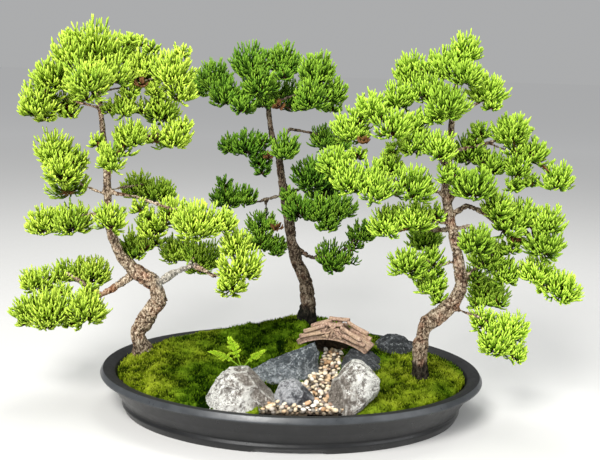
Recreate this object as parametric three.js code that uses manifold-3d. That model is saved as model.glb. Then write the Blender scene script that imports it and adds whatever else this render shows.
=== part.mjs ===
// Japanese garden juniper bonsai: three young junipers in one shallow oval tray, with two moss
// mats, six stones, a pea gravel path, a small log bridge and a fern.
// Millimetres, +Z up. Everything is laid out from the middle of the tray, with -Y the front, and
// the whole garden is then moved so that its origin is the middle of the floor that it covers.

import * as THREE from 'three';
import { mergeVertices } from 'three/addons/utils/BufferGeometryUtils.js';
import { ConvexGeometry } from 'three/addons/geometries/ConvexGeometry.js';
import Module from 'manifold-3d';

const wasm = await Module();
wasm.setup();

// Driving dimensions

const TRAY_LENGTH = 445;
const TRAY_WIDTH = 320;
const TRAY_SIDES = 36;
const SEAT_GAP = 0.35;

// The tray's section: how far each ring lies in from the outer oval, and its height.
const TRAY_SECTION = [
  [38, 4],
  [35, 0],
  [28, 0],
  [24, 8.5],
  [26, 12],
  [20, 25],
  [12, 43],
  [1, 43.5],
  [0, 49.5],
  [1.5, 51],
  [10, 50],
  [17, 47],
  [33, 9],
];
const TRAY_FLOOR = 9;
const TRAY_UNDERSIDE = 4;
const DRAIN_RADIUS = 8;
const DRAIN_PLACES = [[-110, 0], [0, 0], [110, 0]];
const FOOT_NOTCH = { width: 70, depth: 46, height: 3 };

const SOIL_SIDES = 18;
const SOIL_RINGS = 4;
const SOIL_EDGE_INSET = 19.4;
const SOIL_BASE = { inset: 33.5, height: TRAY_FLOOR + SEAT_GAP };
const MOSS_DEPTH = 5;
const MOSS_PARTING = 50;
const GROUND_LEVEL = 48;

// Low mounds that raise the ground: place, height and spread along X and Y.
const MOUNDS = [
  { x: 16, y: 94, rise: 19, spreadX: 105, spreadY: 42 },
  { x: 16, y: 94, rise: 15, spreadX: 42, spreadY: 38 },
  { x: -177, y: 14, rise: 11, spreadX: 42, spreadY: 46 },
  { x: -95, y: 20, rise: 6, spreadX: 70, spreadY: 60 },
  { x: 150, y: -30, rise: 9, spreadX: 46, spreadY: 40 },
];

// The gravel path's two edges, from the front of the tray to behind the bridge.
const PATH_LEFT = [[-34, -150], [-26, -112], [0, -76], [22, -58], [30, -20], [36, 20], [40, 70]];
const PATH_RIGHT = [[62, 70], [58, 20], [54, -20], [50, -60], [48, -90], [66, -122], [70, -150]];
const PATH_LEVEL = 49.5;
const PEBBLES = { pitch: 11.4, relief: 3.6, bedBottom: 44.2 };

const BRIDGE = { x: 52, y: 38, z: 63, turn: -0.36, halfSpan: 42, rise: 12, ring: 7, width: 28 };

const FERN_ROOT = [-57, -22, 53];
const FERN_CROWN_DEPTH = 12;
const FRONDS = [
  { tip: [-73, -26, 92], bow: 5, width: 17, pinnae: 5 },
  { tip: [-94, -30, 74], bow: 10, width: 15, pinnae: 5 },
  { tip: [-29, -30, 78], bow: 7, width: 11, pinnae: 3 },
];
const FROND_THICKNESS = 0.9;

// Foliage: how wide a spray's core is against its reach, how short and long its cords of scale
// leaves are, the gap between pads, and how far linked sprays of one pad run into each other.
const CORE_SHARE = 0.3;
const CORD_LENGTHS = [0.84, 1.06];
const PAD_GAP = 0.45;
const LINK_LAP = 2.2;
const KIN_GAP = 0.2;
const BARE_BELOW = -0.15;
const SHORTEST_CORD = 4;
const WOOD_CLEARANCE = 2.6;

const COLOURS = {
  tray: 0x2b2c2f,
  soil: 0x3a2a20,
  moss: 0x5a7d22,
  gravel: 0xc9b089,
  paleStone: 0xb4b4ae,
  slate: 0x5c6268,
  darkStone: 0x3f4346,
  clay: 0xb08d77,
  fern: 0x8ad12c,
  bark: 0x776658,
  foliage: [0x76a32c, 0x4f8227, 0x6d9c2c],
};

// Stones: the corners of each one, as [x, y, z].
const STONES = {
  stone_front_left: {
    colour: COLOURS.paleStone,
    corners: [
      [-86, -112, 42], [-84, -118, 60], [-76, -120, 74], [-66, -108, 85], [-50, -104, 89], [-37, -98, 84],
      [-27, -110, 66], [-22, -120, 44], [-44, -131, 44], [-70, -127, 44], [-58, -129, 66], [-36, -126, 66],
      [-80, -92, 44], [-48, -82, 46], [-24, -94, 46], [-60, -88, 72],
    ],
  },
  stone_slate_blade: {
    colour: COLOURS.slate,
    corners: [
      [-45, -32, 44], [-42, -36, 58], [-24, -30, 67], [2, -20, 75], [22, -12, 82], [27, -14, 70],
      [24, -20, 48], [6, -42, 46], [-12, -54, 46], [-30, -56, 46], [-14, -48, 60], [8, -36, 64],
      [-30, -14, 46], [8, 0, 46], [26, -4, 52],
    ],
  },
  stone_front_middle: {
    colour: COLOURS.slate,
    corners: [
      [-18, -98, 44], [-15, -102, 56], [-8, -96, 68], [3, -94, 71], [12, -98, 68], [23, -104, 57],
      [26, -108, 44], [12, -124, 43], [-8, -122, 43], [-2, -116, 60], [14, -114, 58], [-10, -80, 44],
      [16, -82, 44],
    ],
  },
  stone_front_right: {
    colour: COLOURS.paleStone,
    corners: [
      [38, -112, 43], [40, -114, 62], [46, -112, 80], [58, -106, 94], [70, -104, 99], [81, -108, 94],
      [90, -112, 80], [94, -110, 58], [92, -108, 43], [70, -130, 44], [54, -130, 44], [50, -122, 66],
      [74, -126, 78], [62, -128, 62], [46, -84, 44], [88, -86, 44], [66, -84, 78],
    ],
  },
  stone_under_bridge: {
    colour: COLOURS.darkStone,
    corners: [
      [58, -16, 43], [57, -12, 52], [63, 4, 62], [72, 20, 66], [90, 24, 66], [102, 10, 64],
      [106, -4, 54], [104, -12, 43], [80, -24, 43], [82, -18, 54], [66, 34, 46], [104, 34, 46],
    ],
  },
  stone_back_right: {
    colour: COLOURS.darkStone,
    corners: [
      [100, 56, 44], [101, 58, 58], [108, 62, 70], [122, 66, 77], [138, 64, 73], [149, 58, 60],
      [152, 54, 44], [126, 42, 44], [118, 50, 62], [140, 50, 58], [112, 84, 46], [142, 80, 46],
      [126, 80, 66],
    ],
  },
};

// The junipers. A trunk or branch is a route of [x, y, z, radius]; a pad of foliage is a few
// sprays, each [x, y, z, half width, half height]. Branches and pads spread in depth from the
// plane of their trunk by DEPTH_SPREAD times what their lists say.
const DEPTH_SPREAD = 1.9;
const SPRAY_SCALE = { width: 1.28, depth: 1.45, height: 1.6 };
const SPRAY_DROP = 0.4;
const JUNIPERS = {
  left: {
    plane: 5,
    trunk: [
      [-178, 13, 36, 9], [-177, 12, 54, 11.5], [-181, 13, 68, 10.3], [-184, 13, 80, 10], [-177, 13, 92, 9.7],
      [-166, 11, 111, 10], [-157, 9, 126, 10.2], [-156, 8, 139, 10.4], [-168, 8, 147, 9.5],
      [-184, 7, 158, 8.8], [-196, 6, 169, 7.6], [-207, 5, 186, 6], [-212, 4, 207, 5.3], [-216, 4, 234, 4.8],
      [-216, 4, 275, 4.2], [-219, 4, 300, 4], [-221, 5, 330, 3.5], [-225, 6, 358, 2.9], [-228, 8, 392, 2.2],
    ],
    branches: [
      [[-184, 7, 155, 5], [-206, 2, 141, 4.2], [-221, -2, 129, 3.6], [-246, -8, 122, 2.6],
        [-270, -12, 114, 2]],
      [[-221, -1, 130, 3], [-243, 8, 142, 2.4], [-268, 12, 150, 2]],
      [[-158, 8, 142, 5], [-141, 6, 156, 4.1], [-121, 4, 171, 3.4], [-109, 0, 162, 2.9], [-86, -5, 160, 2.4],
        [-66, -8, 172, 2]],
      [[-125, 5, 168, 2.6], [-126, 18, 174, 2.2], [-114, 22, 178, 1.8]],
      [[-216, 4, 250, 3], [-195, 2, 249, 2.4], [-172, 0, 244, 2.1], [-138, -2, 234, 1.9],
        [-108, -5, 232, 1.7]],
      [[-216, 4, 252, 2.6], [-200, 18, 252, 2.2], [-182, 28, 254, 1.8]],
      [[-218, 4, 288, 3], [-200, -2, 298, 2.4], [-182, -4, 308, 2.2], [-160, -2, 318, 1.9],
        [-138, 2, 323, 1.7]],
      [[-216, 4, 246, 2.6], [-233, 2, 255, 2.3], [-250, -1, 262, 2], [-262, -4, 278, 1.8]],
      [[-214, 4, 226, 2.6], [-234, 3, 226, 2.2], [-262, 0, 221, 1.8]],
      [[-223, 5, 344, 2.8], [-240, 4, 346, 2.2], [-262, 4, 354, 1.8]],
      [[-226, 6, 362, 2.6], [-204, 8, 364, 2.2], [-180, 6, 374, 2], [-156, 0, 382, 1.8]],
    ],
    pads: {
      crown_top: [
        [-228, 6, 424, 26, 20], [-252, 2, 412, 20, 15], [-204, 12, 414, 19, 16], [-222, -22, 386, 24, 14],
        [-230, 30, 406, 20, 14], [-203, -6, 392, 18, 14],
      ],
      crown_left: [[-272, 0, 388, 21, 17], [-288, -5, 358, 17, 19], [-264, 10, 356, 16, 14]],
      crown_right: [
        [-140, -2, 398, 20, 18], [-134, 0, 376, 18, 15], [-178, 10, 400, 21, 16], [-182, 26, 386, 18, 12],
      ],
      crown_under: [[-194, 0, 352, 15, 11], [-158, 14, 351, 22, 12]],
      upper_arm: [[-184, -5, 323, 19, 13], [-140, 2, 324, 20, 14], [-203, -14, 298, 15, 13]],
      left_mid: [[-272, 2, 306, 18, 18], [-260, -6, 284, 18, 14], [-258, 0, 266, 20, 13]],
      left_arm: [[-286, 3, 221, 20, 12], [-254, 1, 226, 22, 13]],
      mid_tuft: [[-206, -13, 233, 17, 12]],
      right_back: [[-190, 30, 257, 17, 11], [-164, 30, 252, 19, 11]],
      right_mid: [
        [-142, 2, 237, 17, 13], [-163, 6, 220, 17, 15], [-112, -6, 233, 26, 16], [-82, -7, 230, 14, 12],
      ],
      inner_up: [[-190, 20, 192, 14, 18]],
      low_right_back: [[-112, 22, 180, 22, 16], [-140, 28, 184, 18, 14]],
      low_right: [[-60, -8, 184, 22, 15], [-66, -4, 205, 18, 13], [-70, -11, 162, 15, 11]],
      low_left_top: [[-268, 16, 154, 22, 15], [-240, 20, 157, 20, 15], [-300, 6, 150, 18, 12]],
      low_left: [[-274, -14, 128, 21, 17], [-234, -12, 130, 20, 14], [-300, -8, 124, 17, 14]],
    },
  },
  middle: {
    plane: 95,
    trunk: [
      [15, 92, 50, 10], [16, 92, 70, 12.5], [16, 92, 82, 11.2], [18, 92, 96, 9.9], [19, 92, 112, 9.3],
      [13, 93, 132, 8.6], [6, 93, 147, 8.2], [-2, 94, 166, 7.5], [-6, 94, 187, 6.9], [-11, 95, 217, 5.9],
      [-18, 96, 250, 5], [-24, 96, 288, 4.4], [-36, 96, 320, 3.8], [-38, 96, 346, 3.2], [-40, 96, 368, 2.7],
      [-42, 96, 392, 2],
    ],
    branches: [
      [[-24, 96, 293, 3], [-18, 98, 318, 2.6], [2, 101, 321, 2.3], [28, 105, 313, 2], [54, 107, 309, 1.8]],
      [[-16, 96, 240, 2.8], [-38, 97, 232, 2.3], [-60, 98, 228, 2], [-82, 97, 236, 1.8]],
      [[-38, 97, 232, 2.1], [-40, 100, 220, 1.9], [-38, 100, 206, 1.7]],
      [[-4, 94, 178, 3.4], [10, 95, 164, 3], [31, 96, 160, 2.6], [54, 96, 165, 2.2], [72, 98, 180, 2],
        [84, 98, 200, 1.8]],
      [[-39, 96, 346, 2.8], [-61, 94, 354, 2.3], [-84, 92, 368, 2], [-104, 97, 384, 1.8]],
      [[-39, 96, 350, 2.8], [-17, 97, 358, 2.3], [8, 90, 368, 2], [30, 92, 376, 1.8]],
      [[-12, 95, 222, 3.2], [4, 90, 228, 2.6], [29, 86, 231, 2.1], [52, 88, 234, 1.8]],
      [[-16, 96, 240, 2.8], [2, 104, 250, 2.3], [26, 112, 252, 1.9]],
      [[-31, 96, 306, 2.6], [-46, 95, 304, 2.2], [-62, 93, 304, 1.9]],
    ],
    pads: {
      crown_left: [
        [-104, 98, 390, 19, 15], [-122, 102, 376, 15, 13], [-88, 85, 370, 17, 18], [-68, 80, 358, 15, 12],
      ],
      crown_top: [[-60, 90, 408, 20, 18], [-22, 101, 412, 21, 14], [-48, 82, 384, 18, 13]],
      crown_back: [[-12, 116, 366, 21, 17], [-50, 122, 380, 23, 15]],
      crown_right: [[20, 93, 403, 21, 14], [38, 93, 376, 17, 16], [14, 80, 372, 20, 18]],
      neck_left: [[-62, 93, 310, 18, 13], [-84, 95, 307, 13, 11], [-48, 94, 290, 13, 13]],
      neck_right: [[-15, 80, 308, 15, 17]],
      left_twig: [[-88, 95, 243, 19, 13], [-64, 100, 241, 14, 11]],
      right_up: [[20, 96, 275, 24, 12], [34, 112, 253, 22, 13]],
      far_right_up: [[30, 106, 317, 17, 12], [54, 107, 310, 13, 10]],
      right_mid: [[28, 84, 234, 20, 15], [54, 89, 236, 18, 12], [4, 82, 235, 19, 13], [38, 82, 217, 15, 10]],
      left_low: [[-40, 103, 208, 20, 12], [-46, 97, 187, 17, 11], [-24, 100, 180, 13, 10]],
      right_low: [[44, 96, 170, 20, 13], [64, 96, 168, 13, 12], [84, 99, 201, 16, 11]],
    },
  },
  right: {
    plane: -33,
    trunk: [
      [148, -38, 34, 9], [147, -38, 52, 11.5], [146, -38, 66, 10.8], [145, -38, 84, 9.9],
      [144, -38, 101, 10.2],
      [145, -38, 114, 10.6], [154, -37, 122, 10.6], [166, -36, 130, 10.7], [178, -35, 141, 9.6],
      [186, -34, 152, 7.8], [188, -34, 164, 6.6], [184, -34, 180, 6.1], [180, -33, 200, 5.5],
      [174, -33, 221, 5.4],
      [168, -33, 242, 5.6], [164, -32, 262, 5.5], [163, -32, 290, 5], [165, -32, 320, 4.6],
      [165, -32, 342, 3.8],
      [167, -32, 366, 2.9], [168, -32, 396, 2.1],
    ],
    branches: [
      [[165, -32, 292, 3.2], [155, -33, 302, 2.7], [141, -33, 319, 2.3], [121, -32, 326, 2],
        [102, -34, 336, 1.8]],
      [[164, -32, 262, 3.2], [150, -34, 273, 2.5], [128, -38, 277, 2.1], [96, -41, 279, 1.9],
        [66, -41, 283, 1.7]],
      [[168, -32, 254, 3.4], [176, -32, 270, 2.8], [192, -30, 274, 2.4], [206, -30, 268, 2.1],
        [228, -30, 262, 1.8]],
      [[170, -32, 240, 4], [180, -32, 249, 3.6], [194, -30, 252, 3.4], [206, -30, 246, 3.1],
        [227, -30, 229, 2.8],
        [246, -30, 215, 2.5], [262, -31, 206, 2.2], [284, -33, 190, 1.8]],
      [[171, -33, 232, 2.9], [158, -33, 235, 2.5], [142, -34, 234, 2.2], [120, -36, 228, 1.8]],
      [[181, -34, 190, 2.9], [172, -33, 184, 2.4], [156, -32, 185, 2.1], [138, -33, 192, 1.8]],
      [[166, -36, 130, 3], [154, -38, 127, 2.4], [143, -40, 128, 1.9]],
      [[177, -35, 135, 3.6], [195, -37, 131, 2.9], [212, -39, 128, 2.3], [236, -40, 118, 1.8]],
      [[165, -32, 346, 3], [156, -33, 358, 2.3], [140, -34, 366, 2], [118, -31, 372, 1.8]],
      [[166, -32, 350, 3], [177, -32, 359, 2.3], [196, -33, 366, 2]],
      [[165, -32, 310, 3], [186, -26, 315, 2.4], [210, -27, 320, 2.1], [232, -30, 330, 1.8]],
      [[208, -27, 319, 2.1], [236, -30, 312, 1.9], [262, -34, 302, 1.7]],
      [[187, -33, 168, 3], [200, -26, 172, 2.4], [214, -16, 164, 2.1], [228, -10, 158, 1.8]],
      [[187, -33, 170, 3], [204, -29, 186, 2.4], [222, -28, 196, 1.9]],
      [[173, -33, 226, 3], [180, -40, 232, 2.4], [190, -45, 234, 1.9]],
      [[173, -33, 226, 3], [162, -18, 216, 2.4], [152, -8, 214, 1.9]],
    ],
    pads: {
      top: [
        [158, -30, 412, 19, 15], [176, -32, 427, 15, 14], [172, -42, 402, 18, 11], [123, -14, 404, 18, 16],
      ],
      crown_left: [[140, -34, 384, 21, 14], [110, -28, 376, 19, 16], [156, -44, 373, 20, 14]],
      crown_right: [[200, -33, 386, 17, 14], [206, -35, 373, 18, 12]],
      left_up: [
        [98, -42, 346, 21, 15], [78, -32, 364, 16, 12], [57, -29, 342, 18, 18], [122, -33, 346, 14, 12],
        [128, -34, 329, 19, 15], [151, -43, 324, 16, 14],
      ],
      left_main: [
        [122, -44, 286, 21, 18], [84, -46, 280, 20, 14], [58, -42, 287, 19, 14], [40, -34, 304, 16, 13],
        [100, -27, 299, 16, 12],
      ],
      trunk_right: [[190, -22, 317, 18, 14], [214, -26, 304, 17, 13]],
      trunk_front: [[188, -50, 288, 22, 11]],
      right_up: [
        [232, -32, 344, 21, 12], [254, -30, 320, 18, 13], [262, -33, 302, 15, 12], [240, -33, 304, 16, 13],
        [281, -38, 295, 16, 16],
      ],
      right_big: [
        [228, -34, 236, 19, 14], [250, -28, 250, 20, 17], [219, -38, 262, 16, 13], [275, -36, 246, 17, 16],
        [272, -39, 224, 21, 14],
      ],
      right_far_low: [[296, -38, 174, 20, 15], [268, -34, 189, 18, 14]],
      trunk_right_front: [[193, -50, 228, 16, 18]],
      right_mid: [[218, -26, 202, 20, 14], [236, -28, 184, 16, 15]],
      right_back_low: [[226, -9, 154, 21, 16]],
      low_right: [
        [242, -38, 125, 20, 12], [214, -36, 131, 15, 11], [224, -43, 111, 18, 13], [248, -41, 99, 13, 16],
      ],
      left_mid: [[128, -38, 246, 19, 13], [103, -34, 239, 18, 14]],
      left_low: [[126, -34, 196, 19, 14], [153, -29, 196, 13, 11], [156, -28, 171, 14, 16]],
      back_fill: [[152, -3, 214, 18, 16]],
    },
  },
};

// Common helpers

// Repeatable random numbers from 0 to 1.
function randomFrom(seed) {
  let state = seed >>> 0;
  return () => {
    state = (state + 0x6d2b79f5) >>> 0;
    let mixed = Math.imul(state ^ (state >>> 15), state | 1);
    mixed ^= mixed + Math.imul(mixed ^ (mixed >>> 7), mixed | 61);
    return ((mixed ^ (mixed >>> 14)) >>> 0) / 4294967296;
  };
}

function point([x, y, z]) {
  return new THREE.Vector3(x, y, z);
}

function solidOf(geometry) {
  const bare = geometry.clone();
  bare.deleteAttribute('normal');
  bare.deleteAttribute('uv');
  const merged = mergeVertices(bare, 1e-4);
  return new wasm.Manifold(new wasm.Mesh({
    numProp: 3,
    vertProperties: Float32Array.from(merged.attributes.position.array),
    triVerts: Uint32Array.from(merged.index.array),
  }));
}

function joined(solids) {
  return wasm.Manifold.union(solids);
}

// The largest single body of a solid: scraps that a cut leaves loose are dropped.
function mainBody(solid) {
  const bodies = solid.simplify(0.06).decompose();
  return bodies.reduce((best, body) => (body.volume() > best.volume() ? body : best));
}

function geometryOf(solid) {
  const mesh = solid.getMesh();
  const geometry = new THREE.BufferGeometry();
  geometry.setAttribute('position', new THREE.Float32BufferAttribute(mesh.vertProperties, 3));
  geometry.setIndex(Array.from(mesh.triVerts));
  const faceted = geometry.toNonIndexed();
  faceted.computeVertexNormals();
  return faceted;
}

function nodeMesh(name, solid, colour, roughness, metalness = 0) {
  const material = new THREE.MeshStandardMaterial({ color: colour, roughness, metalness });
  const mesh = new THREE.Mesh(geometryOf(mainBody(solid)), material);
  mesh.name = name;
  return mesh;
}

function indexedSolid(positions, faces) {
  const geometry = new THREE.BufferGeometry();
  geometry.setAttribute('position', new THREE.Float32BufferAttribute(positions, 3));
  geometry.setIndex(faces);
  return solidOf(geometry);
}

// A closed body through a list of rings with equal counts of points, with a fan at each end.
function loft(rings, firstCentre, lastCentre) {
  const sides = rings[0].length;
  const positions = [];
  const faces = [];
  rings.flat().forEach((p) => positions.push(p.x, p.y, p.z));
  positions.push(firstCentre.x, firstCentre.y, firstCentre.z, lastCentre.x, lastCentre.y, lastCentre.z);
  const firstIndex = rings.length * sides;
  const lastIndex = firstIndex + 1;
  const lastRing = (rings.length - 1) * sides;
  for (let side = 0; side < sides; side += 1) {
    const next = (side + 1) % sides;
    faces.push(firstIndex, next, side);
    faces.push(lastIndex, lastRing + side, lastRing + next);
    for (let ring = 0; ring + 1 < rings.length; ring += 1) {
      const low = ring * sides;
      const high = low + sides;
      faces.push(low + side, low + next, high + next, low + side, high + next, high + side);
    }
  }
  return indexedSolid(positions, faces);
}

function ovalRing(inset, height, sides) {
  return Array.from({ length: sides }, (_, side) => {
    const angle = (side / sides) * 2 * Math.PI;
    const x = (TRAY_LENGTH / 2 - inset) * Math.cos(angle);
    const y = (TRAY_WIDTH / 2 - inset) * Math.sin(angle);
    return new THREE.Vector3(x, y, height);
  });
}

function routeCurve(route) {
  return new THREE.CatmullRomCurve3(route.map(point), false, 'centripetal');
}

// A round limb through [x, y, z, radius] stations, closed at both ends. The bark's ridges make
// its section a little uneven, and grow widens it all over.
function limb(stations, sides, grow = 0, ridges = 0) {
  const steps = limbSteps(stations);
  const curve = routeCurve(stations);
  const frames = curve.computeFrenetFrames(steps);
  const rings = [];
  for (let step = 0; step <= steps; step += 1) {
    const along = step / steps;
    const parameter = curve.getUtoTmapping(along) * (stations.length - 1);
    const station = Math.min(Math.floor(parameter), stations.length - 2);
    const radius = THREE.MathUtils.lerp(stations[station][3], stations[station + 1][3], parameter - station);
    const centre = curve.getPointAt(along);
    rings.push(Array.from({ length: sides }, (_, side) => {
      const angle = (side / sides) * 2 * Math.PI;
      const ridge = 1 + ridges * Math.sin(3 * angle + step * 0.9) + ridges * 0.6 * Math.sin(5 * step + angle);
      return centre.clone()
        .addScaledVector(frames.normals[step], Math.cos(angle) * (radius * ridge + grow))
        .addScaledVector(frames.binormals[step], Math.sin(angle) * (radius * ridge + grow));
    }));
  }
  const start = curve.getPointAt(0).addScaledVector(frames.tangents[0], -grow);
  const end = curve.getPointAt(1).addScaledVector(frames.tangents[steps], grow);
  return loft(rings, start, end);
}

function hull(points) {
  return solidOf(new ConvexGeometry(points));
}

// The tray

function makeTray() {
  const rings = TRAY_SECTION.map(([inset, height]) => ovalRing(inset, height, TRAY_SIDES));
  const underside = new THREE.Vector3(0, 0, TRAY_UNDERSIDE);
  const floor = new THREE.Vector3(0, 0, TRAY_FLOOR);
  const body = loft(rings, underside, floor);
  const drains = DRAIN_PLACES.map(([x, y]) => {
    const drill = new THREE.CylinderGeometry(DRAIN_RADIUS, DRAIN_RADIUS, 30, 6);
    return solidOf(drill.rotateX(Math.PI / 2).translate(x, y, TRAY_FLOOR));
  });
  const { width, depth, height } = FOOT_NOTCH;
  const notches = [[0, 1, 0], [0, -1, 0], [1, 0, Math.PI / 2], [-1, 0, Math.PI / 2]].map(([sx, sy, turn]) => {
    const box = new THREE.BoxGeometry(width, depth, 2 * height).rotateZ(turn);
    return solidOf(box.translate(sx * (TRAY_LENGTH / 2 - 31), sy * (TRAY_WIDTH / 2 - 31), 0));
  });
  return body.subtract(joined([...drains, ...notches]));
}

// The ground

function pathEdge(points, y) {
  const sorted = [...points].sort((a, b) => a[1] - b[1]);
  for (let i = 0; i + 1 < sorted.length; i += 1) {
    const [x0, y0] = sorted[i];
    const [x1, y1] = sorted[i + 1];
    if (y >= y0 && y <= y1) return THREE.MathUtils.mapLinear(y, y0, y1, x0, x1);
  }
  return y < sorted[0][1] ? sorted[0][0] : sorted[sorted.length - 1][0];
}

// Height of the ground's surface: mounds that fall away to the gravel path.
function groundHeight(x, y) {
  const raised = MOUNDS.reduce((sum, { x: cx, y: cy, rise, spreadX, spreadY }) => {
    const away = ((x - cx) / spreadX) ** 2 + ((y - cy) / spreadY) ** 2;
    return sum + rise * Math.exp(-away / 2);
  }, GROUND_LEVEL);
  const outOval = Math.hypot(x / (TRAY_LENGTH / 2), y / (TRAY_WIDTH / 2));
  const edged = THREE.MathUtils.lerp(raised, GROUND_LEVEL, THREE.MathUtils.smoothstep(outOval, 0.72, 0.93));
  const left = pathEdge(PATH_LEFT, y);
  const right = pathEdge(PATH_RIGHT, y);
  const offPath = Math.max(left - x, x - right, y - 70, 0);
  const banked = THREE.MathUtils.smoothstep(offPath, 2, 24);
  return THREE.MathUtils.lerp(Math.min(PATH_LEVEL, edged), edged, banked);
}

// Rings of ground points, from near the middle out to an oval.
function groundRings(heightAt, inset) {
  return Array.from({ length: SOIL_RINGS }, (_, ring) => (
    ovalRing(inset, 0, SOIL_SIDES).map((p) => {
      const spot = p.multiplyScalar((ring + 1) / SOIL_RINGS);
      return spot.setZ(heightAt(spot.x, spot.y));
    })
  ));
}

// Ground from a base oval up to a height at each place.
function groundBlock(topAt, baseInset, baseHeight) {
  const base = ovalRing(baseInset, baseHeight, SOIL_SIDES);
  const top = groundRings(topAt, SOIL_EDGE_INSET).reverse();
  return loft([base, ...top], new THREE.Vector3(0, 0, baseHeight), new THREE.Vector3(0, 0, topAt(0, 0)));
}

// The path's plan as an upright block that starts at no height, a little wider by grow.
function pathBlock(grow) {
  const outline = [
    ...PATH_LEFT.map(([x, y]) => new THREE.Vector2(x - grow, y)),
    ...PATH_RIGHT.map(([x, y]) => new THREE.Vector2(x + grow, y)),
  ];
  return solidOf(new THREE.ExtrudeGeometry(new THREE.Shape(outline), { depth: 140, bevelEnabled: false }));
}

// Soil and moss

function makeSoil(buried) {
  const subsoilAt = (x, y) => groundHeight(x, y) - MOSS_DEPTH - SEAT_GAP;
  const pathBed = pathBlock(SEAT_GAP).translate([0, 0, PEBBLES.bedBottom - SEAT_GAP]);
  return groundBlock(subsoilAt, SOIL_BASE.inset, SOIL_BASE.height).subtract(joined([buried, pathBed]));
}

function mossLayer() {
  const mossBottom = (x, y) => groundHeight(x, y) - MOSS_DEPTH;
  const whole = groundBlock(groundHeight, SOIL_EDGE_INSET, 30);
  return whole.subtract(groundBlock(mossBottom, SOIL_EDGE_INSET - 4, 20));
}

function sideBlock(side) {
  const half = new THREE.BoxGeometry(TRAY_LENGTH, 2 * TRAY_WIDTH, 300);
  const middle = MOSS_PARTING + side * (TRAY_LENGTH / 2 + SEAT_GAP / 2);
  return solidOf(half.translate(middle, 0, 0)).subtract(pathBlock(SEAT_GAP));
}

// Gravel: a flat bed whose top rises and falls by a pebble's height over a grid of pebbles.

function makeGravel() {
  const { pitch, relief, bedBottom } = PEBBLES;
  const random = randomFrom(11);
  const span = { x: [-42, 78], y: [-150, 77] };
  const columns = Math.round((span.x[1] - span.x[0]) / pitch);
  const rows = Math.round((span.y[1] - span.y[0]) / pitch);
  const block = new THREE.BoxGeometry(1, 1, 1, columns, rows, 1);
  const places = block.attributes.position;
  const heights = new Map();
  for (let index = 0; index < places.count; index += 1) {
    const column = Math.round((places.getX(index) + 0.5) * columns);
    const row = Math.round((places.getY(index) + 0.5) * rows);
    const key = `${column},${row}`;
    if (!heights.has(key)) {
      const pebble = (column + row) % 2 === 0 ? relief * (0.7 + 0.5 * random()) : 0;
      const [aside, ahead] = [random(), random()].map((share) => (share - 0.5) * 0.4 * pitch);
      heights.set(key, { pebble, aside, ahead });
    }
    const { pebble, aside, ahead } = heights.get(key);
    const x = THREE.MathUtils.lerp(span.x[0], span.x[1], column / columns) + aside;
    const y = THREE.MathUtils.lerp(span.y[0], span.y[1], row / rows) + ahead;
    const top = PATH_LEVEL - relief * 0.5 + pebble;
    places.setXYZ(index, x, y, places.getZ(index) > 0 ? top : bedBottom);
  }
  const oval = loft(
    [ovalRing(SOIL_EDGE_INSET, 0, SOIL_SIDES), ovalRing(SOIL_EDGE_INSET, 90, SOIL_SIDES)],
    new THREE.Vector3(0, 0, 0),
    new THREE.Vector3(0, 0, 90),
  );
  return solidOf(block).intersect(pathBlock(0)).intersect(oval);
}

// Stones

function stoneHull(corners, grow) {
  const centre = corners.map(point).reduce((sum, p) => sum.add(p)).divideScalar(corners.length);
  return hull(corners.map((corner) => {
    const outward = point(corner).sub(centre);
    return point(corner).addScaledVector(outward.normalize(), grow);
  }));
}

// The bridge: a round arch with a wall of logs along each side.

function placeBridge(solid) {
  const place = new THREE.Matrix4().makeRotationZ(BRIDGE.turn).setPosition(BRIDGE.x, BRIDGE.y, BRIDGE.z);
  return solid.transform(place.elements.slice());
}

function archOutline(grow) {
  const { halfSpan, rise, ring } = BRIDGE;
  const radius = (halfSpan ** 2 + rise ** 2) / (2 * rise);
  const spread = Math.asin(halfSpan / radius);
  const shape = new THREE.Shape();
  const upright = Math.PI / 2;
  shape.absarc(0, rise - radius, radius - grow, upright - spread, upright + spread, false);
  shape.absarc(0, rise - radius, radius + ring + grow, upright + spread, upright - spread, true);
  return shape;
}

function archBody(grow) {
  const depth = BRIDGE.width + 2 * grow;
  const arch = new THREE.ExtrudeGeometry(archOutline(grow), { depth, bevelEnabled: false, curveSegments: 4 });
  return solidOf(arch.rotateX(Math.PI / 2).translate(0, depth / 2, 0));
}

function log(from, to, side, radius, sides, grow) {
  const start = new THREE.Vector3(from[0], side, from[1]);
  const end = new THREE.Vector3(to[0], side, to[1]);
  const length = start.distanceTo(end) + 2 * grow;
  const stick = new THREE.CylinderGeometry(radius * 0.9 + grow, radius + grow, length, sides);
  const turn = new THREE.Quaternion().setFromUnitVectors(
    new THREE.Vector3(0, 1, 0),
    end.clone().sub(start).normalize(),
  );
  return solidOf(stick.applyQuaternion(turn).translate(...start.lerp(end, 0.5).toArray()));
}

// A wall's logs as [from, to, radius], where a place is [along the span, up].
const WALL_LOGS = [
  [[-41, 11], [-13, 20.5], 3.2],
  [[-36, 18], [-9, 29.5], 2.8],
  [[41, 10.5], [13, 20.5], 3.2],
  [[37, 17], [10, 29.5], 2.8],
  [[-13, 31.5], [13, 32], 2.5],
];
const WALL_STICKS = [[[-8, 17], [4, 31], 1.6], [[9, 17], [-3, 31], 1.6]];

function bridgeWall(side, grow) {
  const logs = WALL_LOGS.map(([from, to, radius], index) => {
    const aside = BRIDGE.width / 2 - 1 + 0.4 * (index % 2);
    return log(from, to, side * aside, radius, 5, grow);
  });
  const sticks = WALL_STICKS.map(([from, to, radius], index) => {
    const aside = BRIDGE.width / 2 - 1.4 + 0.5 * index;
    return log(from, to, side * aside, radius, 4, grow);
  });
  return joined([...logs, ...sticks]);
}

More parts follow.
